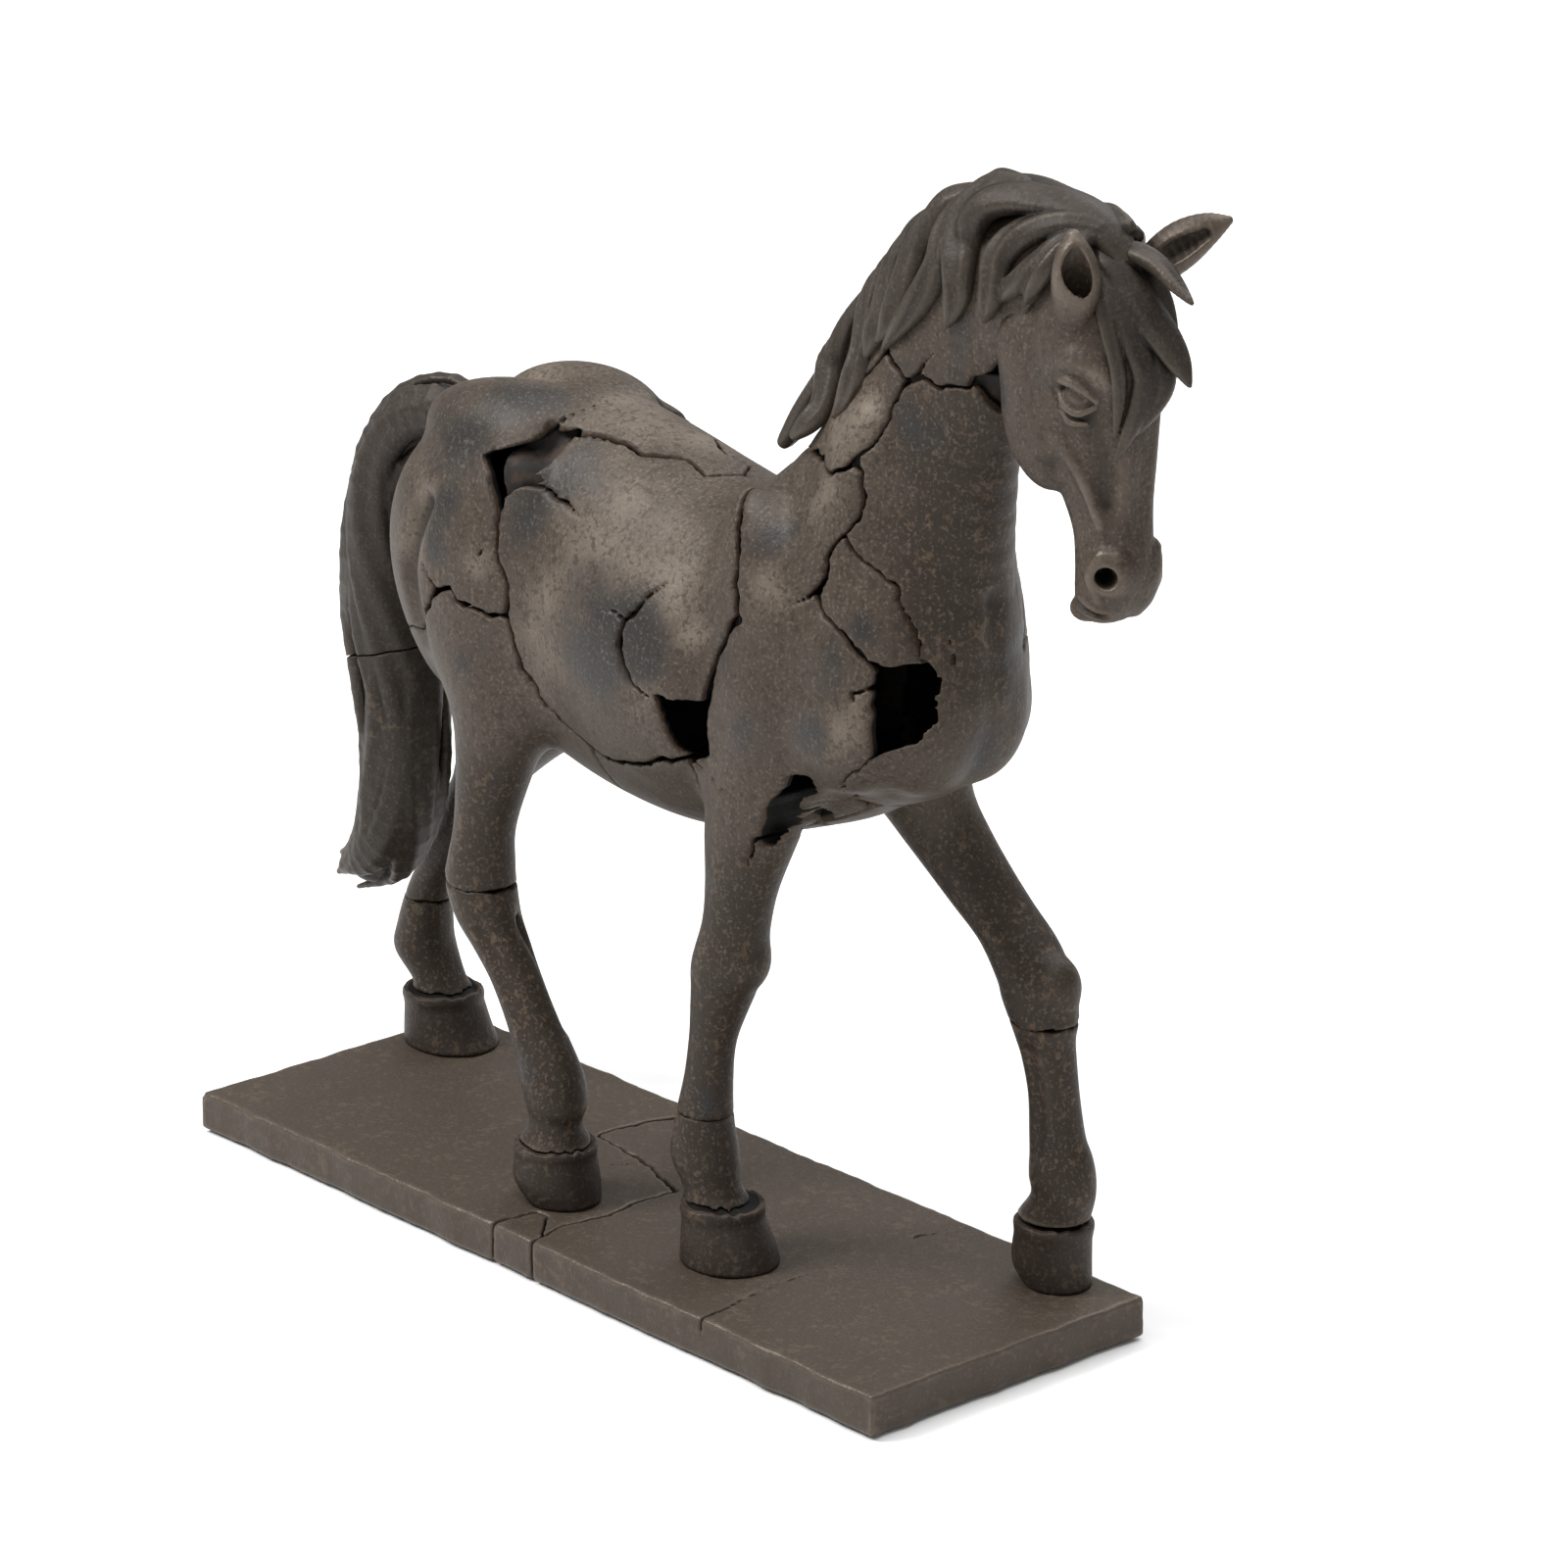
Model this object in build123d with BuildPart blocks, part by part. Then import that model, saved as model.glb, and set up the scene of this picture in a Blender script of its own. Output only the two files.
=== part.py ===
from build123d import *
from math import ceil
import os

# Statue of a walking horse on a rectangular slab: a thin-walled cast figure that has broken
# into shell pieces, put back together on bands, pins and studs.
# Frame: +X towards the head, +Y to the horse's left, +Z up, origin at the middle of the
# felt's underside. All lengths are in millimetres.

# ---------------------------------------------------------------- overall sizes
withers_height = 372.0        # top of the slab to the withers
figure_length = 546.0         # back of the tail to the front of the forelock
trunk_width = 128.0           # widest place of the barrel

# The figure was modelled on a maquette, and its sections below are in maquette sizes.
maquette_withers = 372.0
maquette_length = 546.0
maquette_width = 128.0
scale_x = figure_length / maquette_length
scale_y = trunk_width / maquette_width
scale_z = withers_height / maquette_withers

# ---------------------------------------------------------------- walls, gaps and base
wall = 5.0                    # thickness of the cast shell
crack_gap = 2.4               # width of the cracks between the shell pieces
band_wall = 3.0               # thickness of the bands that bridge the cracks inside
band_width = 18.0             # how far a band reaches along the body
mane_thickness = 7.0          # how far the mane stands off the neck

slab_thickness = 19.5
slab_rear_margin = 26.0       # from the middle of the hindmost hoof to the slab's end
slab_front_margin = 37.0      # from the middle of the foremost hoof to the slab's end
slab_right_margin = 23.5      # from the outermost right hoof to the slab's long edge
slab_left_margin = 1.5        # from the outermost left hoof to the slab's long edge
slab_bevel = 1.5              # worn top edge of the slab
felt_thickness = 1.5
felt_inset = 6.0              # the felt stops this far inside the slab's edge
slab_crack = 2.0              # width of the crack across the slab

stud_diameter = 8.0           # threaded stud from each hoof down through the slab
stud_grip = 14.0              # how far a stud reaches into its hoof
stud_clearance = 0.5          # extra diameter of the hole in the slab
washer_diameter = 18.0
washer_thickness = 1.6
nut_across_flats = 13.0
nut_thickness = 4.0
counterbore_clearance = 2.0   # extra diameter of the counterbore around the washer
counterbore_depth = washer_thickness + nut_thickness + 1.0

leg_dowel_diameter = 7.0      # pins through the breaks in the legs
leg_dowel_length = 22.0
slab_dowel_diameter = 8.0     # pins across the crack in the slab
slab_dowel_length = 60.0
cross_bar_diameter = 16.0     # bar inside, from shoulder to shoulder
neck_rod_diameter = 12.0      # bent rod from the cross bar up to the head
neck_rod_clearance = 1.0      # extra diameter where the rod passes a wall

slab_top = felt_thickness + slab_thickness
midline = 12.0 * scale_y      # the horse walks a little to the left of the slab's middle

# ---------------------------------------------------------------- sections of the figure
# Trunk: place along X, middle height, half height, half width.
trunk_sections = [
    (-152, 300, 14, 14),
    (-146, 297, 34, 32),
    (-128, 292, 58, 49),
    (-98, 290, 75, 58),
    (-60, 288, 83, 59),
    (-20, 280, 86, 60),
    (20, 273, 84, 63),
    (56, 273, 80, 62),
    (90, 279, 82, 57),
    (120, 288, 80, 53),
    (150, 292, 70, 48),
    (180, 296, 54, 40),
    (198, 298, 40, 30),
    (206, 300, 22, 17),
]
# Neck: height, middle along X, half length, half width.
neck_sections = [
    (300, 145, 58, 40),
    (330, 140, 68, 43),
    (360, 147, 62, 41),
    (390, 154, 55, 36),
    (420, 166, 50, 31),
    (445, 180, 48, 28),
    (465, 198, 48, 26),
    (482, 214, 47, 23),
    (495, 225, 40, 18),
    (503, 229, 26, 11),
]
# Head, from the muzzle up to the poll: height, middle along X, half length, half width.
head_sections = [
    (337, 284, 6, 8),
    (344, 284, 13, 15),
    (356, 283, 18, 18),
    (370, 284, 17, 16),
    (386, 277, 22, 18),
    (404, 268, 29, 22),
    (425, 266, 33, 26),
    (447, 269, 33, 29),
    (470, 272, 27, 26),
    (488, 272, 18, 21),
    (499, 271, 9, 11),
]
# Tail: place along X, height, half depth, half width, direction of the hair (x, z).
tail_sections = [
    (-138, 334, 10, 10, -1.0, 0.3),
    (-166, 341, 13, 13, -1.0, 0.0),
    (-190, 326, 17, 16, -1.0, -1.0),
    (-205, 290, 22, 20, -0.2, -1.0),
    (-208, 245, 24, 22, 0.0, -1.0),
    (-204, 200, 24, 22, 0.1, -1.0),
    (-200, 160, 23, 21, 0.0, -1.0),
    (-206, 125, 19, 17, -0.3, -1.0),
    (-220, 98, 9, 8, -0.6, -1.0),
]
# Legs: height, middle along X, middle from the midline, half length, half width.
# The first three rows of each leg are its hoof, from the ground to the coronet. From one
# row to the next a leg moves by less than its half length, or the loft twists.
leg_row_spacing = 24     # greatest height between the rows a leg is lofted through
leg_sections = {
    "front_right": [
        (0, 85, -40, 25, 23),
        (12, 83, -40, 22, 21),
        (25, 80, -40, 17, 16),
        (36, 72, -40, 14, 13),
        (50, 69, -40, 16, 15),
        (75, 71, -40, 12, 11.5),
        (104, 75, -40, 11.5, 11),
        (126, 82, -40, 15, 14),
        (143, 86, -40, 18, 17),
        (163, 91, -40, 16.5, 15),
        (190, 96, -40, 19, 16),
        (225, 103, -38, 27, 19),
        (262, 112, -34, 34, 22),
        (300, 118, -31, 34, 24),
    ],
    "hind_right": [
        (0, -22, -50, 23, 21),
        (12, -24, -50, 21, 20),
        (25, -25, -50, 18, 17),
        (36, -25, -50, 13.5, 13),
        (54, -26, -50, 16.5, 15),
        (78, -36, -50, 16, 13),
        (104, -54, -50, 15, 13),
        (122, -69, -50, 17, 15),
        (142, -76, -50, 18, 15.5),
        (169, -74, -49, 16, 14.5),
        (200, -69, -46, 20, 18),
        (230, -68, -41, 33, 23),
        (262, -76, -36, 46, 28),
        (300, -88, -32, 50, 30),
    ],
    "front_left": [
        (0, 203, 52, 20, 17),
        (14, 200, 52, 19, 17),
        (28, 199, 52, 17, 16),
        (38, 203, 52, 14, 13.5),
        (52, 205, 52, 15.5, 14.5),
        (72, 202, 52, 12.5, 12),
        (104, 196, 52, 12.5, 12),
        (122, 192, 52, 16, 15),
        (140, 186, 52, 18.5, 16.5),
        (158, 172, 51, 19.5, 16.5),
        (184, 146, 47, 23, 17.5),
        (206, 128, 43, 28, 19),
        (235, 117, 38, 34, 22),
        (280, 114, 32, 36, 24),
    ],
    "hind_left": [
        (0, -214, 39, 25, 22),
        (12, -216, 39, 22, 20.5),
        (25, -219, 39, 18, 17),
        (34, -225, 39, 14.5, 13.5),
        (48, -231, 39, 16.5, 15),
        (68, -229, 39, 13, 12),
        (86, -221, 39, 12.5, 12),
        (104, -211, 40, 13.5, 13),
        (117, -202, 40, 15, 14),
        (130, -193, 41, 17, 15),
        (148, -178, 42, 20, 16.5),
        (166, -159, 42, 22.5, 17.5),
        (184, -140, 42, 26, 19.5),
        (203, -122, 41, 31, 21.5),
        (224, -108, 40, 36, 24),
        (246, -99, 38, 40, 26),
        (268, -95, 35, 43, 28),
        (290, -92, 32, 45, 29),
    ],
}
# Heights at which each leg is broken: at the coronet, and again higher up the leg.
leg_breaks = {
    "front_right": (27, 67),
    "hind_right": (27, 140),
    "front_left": (30, 122),
    "hind_left": (27, 72),
}

# ---------------------------------------------------------------- cracks, side view (x, z)
croup_line = [(52, 420), (52, 351), (26, 355), (-8, 357), (-40, 353)]
flank_line = [(-50, 330), (-50, 306), (-43, 277)]
thigh_front_line = [(-36, 256), (-24, 240), (4, 226)]
thigh_top_line = [(-62, 277), (-80, 282), (-98, 284), (-112, 262), (-190, 228)]
belly_line = [(40, 224), (68, 234), (88, 240)]
girth_line = [(92, 275), (107, 318), (99, 362), (80, 420)]
breast_line = [(150, 232), (183, 263), (184, 300), (163, 317), (142, 345), (142, 420)]

shard_outlines = {
    "croup_shell": [(-190, 420)] + croup_line + flank_line + thigh_top_line,
    "thigh_shell": [(-190, 150), (4, 150), (4, 226)]
        + thigh_front_line[-2::-1] + flank_line[-1:] + thigh_top_line,
    "barrel_shell": flank_line + thigh_front_line + belly_line + girth_line
        + [(66, 420)] + croup_line,
    "belly_shell": thigh_front_line[-1:] + belly_line + [(88, 150), (4, 150)],
    "shoulder_shell": belly_line[-1:] + breast_line + girth_line[::-1],
    "breast_shell": breast_line + [(280, 420), (280, 150), (150, 150)],
    "sternum_shell": [(88, 240), (150, 232), (150, 150), (88, 150)],
}
paired_shards = ("thigh_shell", "barrel_shell", "shoulder_shell")

crest_line = [(20, 425), (168, 433), (184, 425), (214, 428), (234, 443), (300, 530)]
neck_front_line = [(184, 425), (174, 404), (162, 386), (167, 362), (150, 330), (150, 200)]
neck_outlines = {
    "neck_crest_shell": crest_line + [(300, 600), (20, 600)],
    "withers_shell": [(20, 200), (20, 425), (168, 433)] + neck_front_line,
    "throat_shell": neck_front_line + [(330, 200), (330, 530), (300, 530)]
        + crest_line[4:2:-1],
}
# Pieces lost from the right side: side-view outlines of the holes.
right_holes = {
    "croup_shell": [[(-66, 344), (-52, 352), (-40, 358), (-44, 342), (-50, 332), (-60, 330)]],
    "barrel_shell_right": [
        [(-50, 350), (-38, 358), (-42, 342), (-38, 338), (-48, 330), (-54, 334)],
        [(62, 266), (92, 268), (92, 240), (74, 240), (66, 250)],
    ],
    "shoulder_shell_right": [
        [(118, 206), (124, 228), (133, 246), (152, 246), (139, 232), (128, 208)],
        [(180, 300), (190, 300), (190, 268), (180, 264)],
    ],
    "breast_shell": [[(182, 300), (195, 306), (204, 298), (203, 278), (195, 270), (182, 265)]],
    "throat_shell": [[(216, 433), (226, 437), (234, 444), (228, 424), (221, 412)]],
}
# Bands inside the shell: place along X of the middle of each.
band_places = {"flank_band": -46, "belly_band": 40, "girth_band": 96, "chest_band": 166}


def place(x, y, z):
    """A maquette point, with y from the midline and z from the slab's top, on the statue."""
    return Vector(x * scale_x, midline + y * scale_y, slab_top + z * scale_z)


def loft_along_x(sections, skin=0.0):
    """Smooth body through upright ellipses, taken in by skin on every side."""
    with BuildPart() as body:
        for x, z, half_height, half_width in sections:
            centre = place(x, 0, z)
            with BuildSketch(Plane(centre, x_dir=(0, 1, 0), z_dir=(1, 0, 0))):
                Ellipse(half_width * scale_y - skin, half_height * scale_z - skin)
        loft()
    return body.part


def loft_along_z(sections, skin=0.0):
    """Smooth body through level ellipses: height, x, y, half length, half width."""
    with BuildPart() as body:
        for z, x, y, half_length, half_width in sections:
            with BuildSketch(Plane(place(x, y, z))):
                Ellipse(half_length * scale_x - skin, half_width * scale_y - skin)
        loft()
    return body.part


def on_midline(sections):
    """Level sections that lie on the horse's midline."""
    return [(z, x, 0, half_length, half_width) for z, x, half_length, half_width in sections]


def side_prism(outline, inset=0.0, y_from=-400.0, y_to=400.0):
    """Prism across the horse with a side-view outline, its edges moved in by inset."""
    points = [(x * scale_x, slab_top + z * scale_z) for x, z in outline]
    with BuildPart() as prism:
        with BuildSketch(Plane((0, y_to, 0), x_dir=(1, 0, 0), z_dir=(0, -1, 0))):
            with BuildLine():
                Polyline(*points, close=True)
            make_face()
            if inset:
                offset(amount=-inset)
        extrude(amount=y_to - y_from)
    return prism.part


def block(low, high):
    """Box between two corners."""
    span = Vector(high) - Vector(low)
    with BuildPart() as box:
        with Locations(Vector(low)):
            Box(span.X, span.Y, span.Z, align=(Align.MIN, Align.MIN, Align.MIN))
    return box.part


def rod(start, end, diameter):
    """Straight round rod between two points."""
    axis = Vector(end) - Vector(start)
    with BuildPart() as bar:
        with BuildSketch(Plane(Vector(start), z_dir=axis)):
            Circle(diameter / 2)
        extrude(amount=axis.length)
    return bar.part


def largest(shape):
    """The largest solid of a result, without the slivers beside it."""
    return Part(shape.solids().sort_by(SortBy.VOLUME)[-1].wrapped)


def whole(shape, least=400.0):
    """Every solid of a result that is larger than a sliver."""
    return Part(Compound([s for s in shape.solids() if s.volume > least]).wrapped)


def save(name, shape):
    """Label a finished piece and write it to its own file."""
    shape.label = name
    export_step(shape, f"parts/{name}.step")
    solids = shape.solids()
    print(f"{name}: {len(solids)} solid(s), {sum(s.volume for s in solids) / 1000:.1f} cm3")


os.makedirs("parts", exist_ok=True)


# ---------------------------------------------------------------- whole forms
trunk_out = loft_along_x(trunk_sections)
trunk_in = loft_along_x(trunk_sections[1:-1], wall)
neck_out = loft_along_z(on_midline(neck_sections))
neck_in = loft_along_z(on_midline(neck_sections[:-1]), wall)
head_out = loft_along_z(on_midline(head_sections))
head_in = loft_along_z(on_midline(head_sections[1:-1]), wall)

# Bars inside: a cross bar from shoulder to shoulder, and a bent rod from it up to the head.
bar_x, bar_z = 130, 292
bar_reach = 200.0
cross_bar_line = [place(bar_x, -bar_reach, bar_z), place(bar_x, bar_reach, bar_z)]
neck_rod_path = [place(bar_x, 0, bar_z), place(196, 0, 428), place(272, 0, 462)]
neck_rod_bend = 40.0


def neck_rod_with(diameter):
    """The bent rod of the neck at a given diameter."""
    with BuildPart() as bent:
        with BuildLine():
            path = FilletPolyline(*neck_rod_path, radius=neck_rod_bend)
        with BuildSketch(Plane(path @ 0, z_dir=path % 0)):
            Circle(diameter / 2)
        sweep(path=path)
    return bent.part


neck_rod_hole = neck_rod_with(neck_rod_diameter + neck_rod_clearance)


# ---------------------------------------------------------------- dowels in the legs
def between(rows, at):
    """Values of the columns after the first, at a value of the first column."""
    for low, high in zip(rows, rows[1:]):
        if low[0] <= at <= high[0]:
            share = (at - low[0]) / (high[0] - low[0])
            return [a + (b - a) * share for a, b in zip(low[1:], high[1:])]


def closer(rows):
    """Rows with others put between them: a loft swells where its rows are far apart."""
    heights = []
    for low, high in zip(rows, rows[1:]):
        rise = high[0] - low[0]
        steps = ceil(rise / leg_row_spacing)
        heights += [low[0] + rise * step / steps for step in range(steps)]
    heights.append(rows[-1][0])
    return [(height, *between(rows, height)) for height in heights]


def trunk_underside(x, y):
    """Height of the trunk's lower skin over a point of the plan."""
    z, half_height, half_width = between(trunk_sections, x)
    return z - half_height * (1 - (y / half_width) ** 2) ** 0.5


leg_tops = {"front_right": 224, "hind_right": 230, "front_left": 234, "hind_left": 234}
hip_dowel_length = 34.0
leg_pins = []
for leg, rows in leg_sections.items():
    pin_places = [(height, leg_dowel_length) for height in leg_breaks[leg]]
    pin_places.append((leg_tops[leg], hip_dowel_length))
    for height, length in pin_places:
        x, y = between(rows, height)[:2]
        if height == leg_tops[leg]:
            height = trunk_underside(x, y)
        middle = place(x, y, height)
        low_end = middle - Vector(0, 0, length / 2)
        high_end = middle + Vector(0, 0, length / 2)
        leg_pins.append(rod(low_end, high_end, leg_dowel_diameter))
with BuildPart() as leg_dowels:
    add(leg_pins)

# ---------------------------------------------------------------- trunk shell pieces
with BuildPart() as trunk_shell:
    add(trunk_out)
    add(trunk_in, mode=Mode.SUBTRACT)
    add(neck_in, mode=Mode.SUBTRACT)
    add(leg_dowels.part, mode=Mode.SUBTRACT)

hole_end = midline - 10.0     # the holes stop this far before the midline
halves = {"right": (-400.0, midline - crack_gap / 2), "left": (midline + crack_gap / 2, 400.0)}
for name, outline in shard_outlines.items():
    sides = halves if name in paired_shards else {"": (-400.0, 400.0)}
    for side, (y_from, y_to) in sides.items():
        full_name = f"{name}_{side}" if side else name
        with BuildPart() as shard:
            add(trunk_shell.part)
            add(side_prism(outline, crack_gap / 2, y_from, y_to), mode=Mode.INTERSECT)
            for hole in right_holes.get(full_name, []):
                add(side_prism(hole, 0.0, -400.0, hole_end), mode=Mode.SUBTRACT)
        save(full_name, largest(shard.part))

# ---------------------------------------------------------------- neck shell pieces
with BuildPart() as neck_shell:
    add(neck_out)
    add([neck_in, trunk_out, head_out, neck_rod_hole], mode=Mode.SUBTRACT)

for name, outline in neck_outlines.items():
    with BuildPart() as neck_piece:
        add(neck_shell.part)
        add(side_prism(outline, crack_gap / 2), mode=Mode.INTERSECT)
        for hole in right_holes.get(name, []):
            add(side_prism(hole, 0.0, -400.0, hole_end), mode=Mode.SUBTRACT)
    save(name, largest(neck_piece.part))

# ---------------------------------------------------------------- head, ears and hair
with BuildPart() as head_shell:
    add(head_out)
    add([head_in, neck_rod_hole], mode=Mode.SUBTRACT)
save("head_shell", largest(head_shell.part))

# Ear sections: height, middle along X, middle from the midline, half length, half width.
ear_sections = {
    "ear_right": [
        (472, 270, -20, 9, 7),
        (484, 272, -23, 13, 9),
        (498, 273, -26, 13, 8),
        (508, 273, -27, 9, 5),
        (513, 273, -28, 3, 2),
    ],
    "ear_left": [
        (474, 279, 17, 8, 6),
        (486, 286, 21, 10, 6),
        (495, 294, 26, 10, 5),
        (503, 303, 30, 7, 3),
        (507, 309, 33, 2, 1.5),
    ],
}
ears = {}
for name, rows in ear_sections.items():
    with BuildPart() as ear:
        add(loft_along_z(rows))
        add([head_out, neck_out], mode=Mode.SUBTRACT)
    ears[name] = largest(ear.part)
    save(name, ears[name])

# The mane is a skin on the right side of the neck and over its crest.
mane_rise = 13.0
mane_sections = [
    (z + mane_rise, x - mane_thickness / 2, 0, length + mane_thickness, width + mane_thickness)
    for z, x, length, width in neck_sections[2:]
]
mane_outline = [
    (60, 372),
    (92, 374),
    (120, 395),
    (147, 413),
    (168, 434),
    (205, 452),
    (250, 476),
    (278, 500),
    (290, 560),
    (60, 560),
]
mane_break = 162.0            # place along X of the break across the mane
mane_far_reach = 12.0         # how far the mane lies over to the left of the crest
mane_form = loft_along_z(mane_sections)
mane_spans = {"mane_lower": (0, mane_break), "mane_upper": (mane_break, 400)}
manes = []
for name, (x_from, x_to) in mane_spans.items():
    with BuildPart() as mane:
        add(mane_form)
        add(side_prism(mane_outline, 0.0, -400.0, midline + mane_far_reach), mode=Mode.INTERSECT)
        add(block(place(x_from, -400, 0), place(x_to, 400, 700)), mode=Mode.INTERSECT)
        add([neck_out, trunk_out, head_out, *ears.values()], mode=Mode.SUBTRACT)
    manes.append(largest(mane.part))
    save(name, manes[-1])

forelock_sections = [
    (446, 300, 0, 4, 5),
    (458, 303, 0, 7, 9),
    (472, 305, 0, 10, 13),
    (488, 298, 0, 14, 15),
    (502, 288, 0, 14, 13),
    (512, 283, 0, 7, 8),
]
with BuildPart() as forelock:
    add(loft_along_z(forelock_sections))
    add([head_out, neck_out, *ears.values(), *manes], mode=Mode.SUBTRACT)
save("forelock", largest(forelock.part))

# ---------------------------------------------------------------- tail
tail_break = 222.0            # height of the break across the tail
with BuildPart() as tail_form:
    for x, z, half_depth, half_width, lean_x, lean_z in tail_sections:
        hair = Vector(lean_x * scale_x, 0, lean_z * scale_z)
        with BuildSketch(Plane(place(x, 0, z), x_dir=(0, 1, 0), z_dir=hair)):
            Ellipse(half_width * scale_y, half_depth * (scale_x + scale_z) / 2)
    loft()
tail_spans = {"tail_upper": (tail_break, 700), "tail_lower": (0, tail_break)}
for name, (z_from, z_to) in tail_spans.items():
    with BuildPart() as tail_piece:
        add(tail_form.part)
        add(block(place(-400, -400, z_from), place(0, 400, z_to)), mode=Mode.INTERSECT)
        add(trunk_out, mode=Mode.SUBTRACT)
    save(name, largest(tail_piece.part))

# ---------------------------------------------------------------- legs and studs
slab_underside = felt_thickness
washer_top = slab_underside + counterbore_depth
nut_top = washer_top - washer_thickness
stud_foot = nut_top - nut_thickness - 0.5
hoof_places = []
for rows in leg_sections.values():
    hoof_places.append(place(rows[0][1], rows[0][2], 0))

with BuildPart() as leg_studs:
    for spot in hoof_places:
        foot = Vector(spot.X, spot.Y, stud_foot)
        tip = Vector(spot.X, spot.Y, slab_top + stud_grip)
        add(rod(foot, tip, stud_diameter))
save("leg_studs", whole(leg_studs.part))

with BuildPart() as stud_washers:
    for spot in hoof_places:
        with BuildSketch(Plane((spot.X, spot.Y, nut_top))):
            Circle(washer_diameter / 2)
            Circle(stud_diameter / 2, mode=Mode.SUBTRACT)
        extrude(amount=washer_thickness)
save("stud_washers", whole(stud_washers.part, 10.0))

with BuildPart() as stud_nuts:
    for spot in hoof_places:
        with BuildSketch(Plane((spot.X, spot.Y, nut_top - nut_thickness))):
            RegularPolygon(nut_across_flats / 2, 6, major_radius=False)
            Circle(stud_diameter / 2, mode=Mode.SUBTRACT)
        extrude(amount=nut_thickness)
save("stud_nuts", whole(stud_nuts.part, 10.0))

leg_parts = ("hoof", "cannon", "upper_leg")
for leg, rows in leg_sections.items():
    leg_form = loft_along_z(closer(rows))
    cuts = [0, *leg_breaks[leg], 700]
    for part_name, z_from, z_to in zip(leg_parts, cuts, cuts[1:]):
        with BuildPart() as leg_piece:
            add(leg_form)
            add(block(place(-500, -400, z_from), place(500, 400, z_to)), mode=Mode.INTERSECT)
            add([trunk_out, leg_dowels.part, leg_studs.part], mode=Mode.SUBTRACT)
        save(f"{part_name}_{leg}", largest(leg_piece.part))
save("leg_dowels", whole(leg_dowels.part))

# ---------------------------------------------------------------- bands and bars inside
with BuildPart() as cross_bar:
    add(rod(*cross_bar_line, cross_bar_diameter))
    add(trunk_in, mode=Mode.INTERSECT)
save("cross_bar", largest(cross_bar.part))

band_core = loft_along_x(trunk_sections, wall + band_wall)
for name, x in band_places.items():
    near = place(x, -400, 0) - Vector(band_width / 2, 0, 0)
    far = place(x, 400, 700) + Vector(band_width / 2, 0, 0)
    with BuildPart() as band:
        add(trunk_in)
        add(band_core, mode=Mode.SUBTRACT)
        add(block(near, far), mode=Mode.INTERSECT)
        add([leg_dowels.part, neck_out, cross_bar.part], mode=Mode.SUBTRACT)
    save(name, largest(band.part))

neck_band_height = 424.0
with BuildPart() as neck_band:
    add(neck_in)
    add(loft_along_z(on_midline(neck_sections), wall + band_wall), mode=Mode.SUBTRACT)
    low = place(-400, -400, neck_band_height) - Vector(0, 0, band_width / 2)
    high = place(400, 400, neck_band_height) + Vector(0, 0, band_width / 2)
    add(block(low, high), mode=Mode.INTERSECT)
    add(neck_rod_hole, mode=Mode.SUBTRACT)
save("neck_band", largest(neck_band.part))

with BuildPart() as neck_rod:
    add(neck_rod_with(neck_rod_diameter))
    add(cross_bar.part, mode=Mode.SUBTRACT)
save("neck_rod", largest(neck_rod.part))

# ---------------------------------------------------------------- slab
hoof_rows = [rows[0] for rows in leg_sections.values()]
rear_end = min(row[1] for row in hoof_rows) * scale_x - slab_rear_margin
front_end = max(row[1] for row in hoof_rows) * scale_x + slab_front_margin
right_edge = midline + min(row[2] - row[4] for row in hoof_rows) * scale_y - slab_right_margin
left_edge = midline + max(row[2] + row[4] for row in hoof_rows) * scale_y + slab_left_margin

# Cracks of the slab in plan, from the right edge to the left one (x, y from the midline).
slab_crack_line = [
    (10, -95),
    (8, -87),
    (5, -67),
    (10, -48),
    (6, -27),
    (8, -5),
    (-25, 6),
    (-70, 13),
    (-69, 31),
    (-61, 59),
    (-52, 78),
]
chip_line = [(9, -87), (-8, -68), (-17, -70), (-20, -94)]
beyond = 60.0                 # how far an outline runs past the slab's edges


def plan_prism(points, inset):
    """Upright prism through the slab with an outline in plan, moved in by inset."""
    with BuildPart() as prism:
        with BuildSketch(Plane.XY):
            with BuildLine():
                Polyline(*points, close=True)
            make_face()
            if inset:
                offset(amount=-inset)
        extrude(amount=slab_top + beyond)
    return prism.part


def on_plan(points):
    """Plan points of the maquette on the statue."""
    return [(x * scale_x, midline + y * scale_y) for x, y in points]


crack_points = on_plan(slab_crack_line)
near_end = (crack_points[0][0], right_edge - beyond)
far_end = (crack_points[-1][0], left_edge + beyond)
crack_across = [near_end, *crack_points, far_end]
rear_outline = crack_across + [(rear_end - beyond, far_end[1]), (rear_end - beyond, near_end[1])]
front_outline = crack_across + [(front_end + beyond, far_end[1]), (front_end + beyond, near_end[1])]
chip_points = on_plan(chip_line)
chip_outline = [(chip_points[0][0], near_end[1]), *chip_points, (chip_points[-1][0], near_end[1])]

slab_middle_height = slab_underside + slab_thickness / 2
with BuildPart() as slab_dowels:
    for y in (-24, 40):
        x = between(sorted([(py, px) for px, py in slab_crack_line]), y)[0]
        middle = place(x, y, 0)
        start = Vector(middle.X - slab_dowel_length / 2, middle.Y, slab_middle_height)
        end = start + Vector(slab_dowel_length, 0, 0)
        add(rod(start, end, slab_dowel_diameter))
save("slab_dowels", whole(slab_dowels.part))

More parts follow.
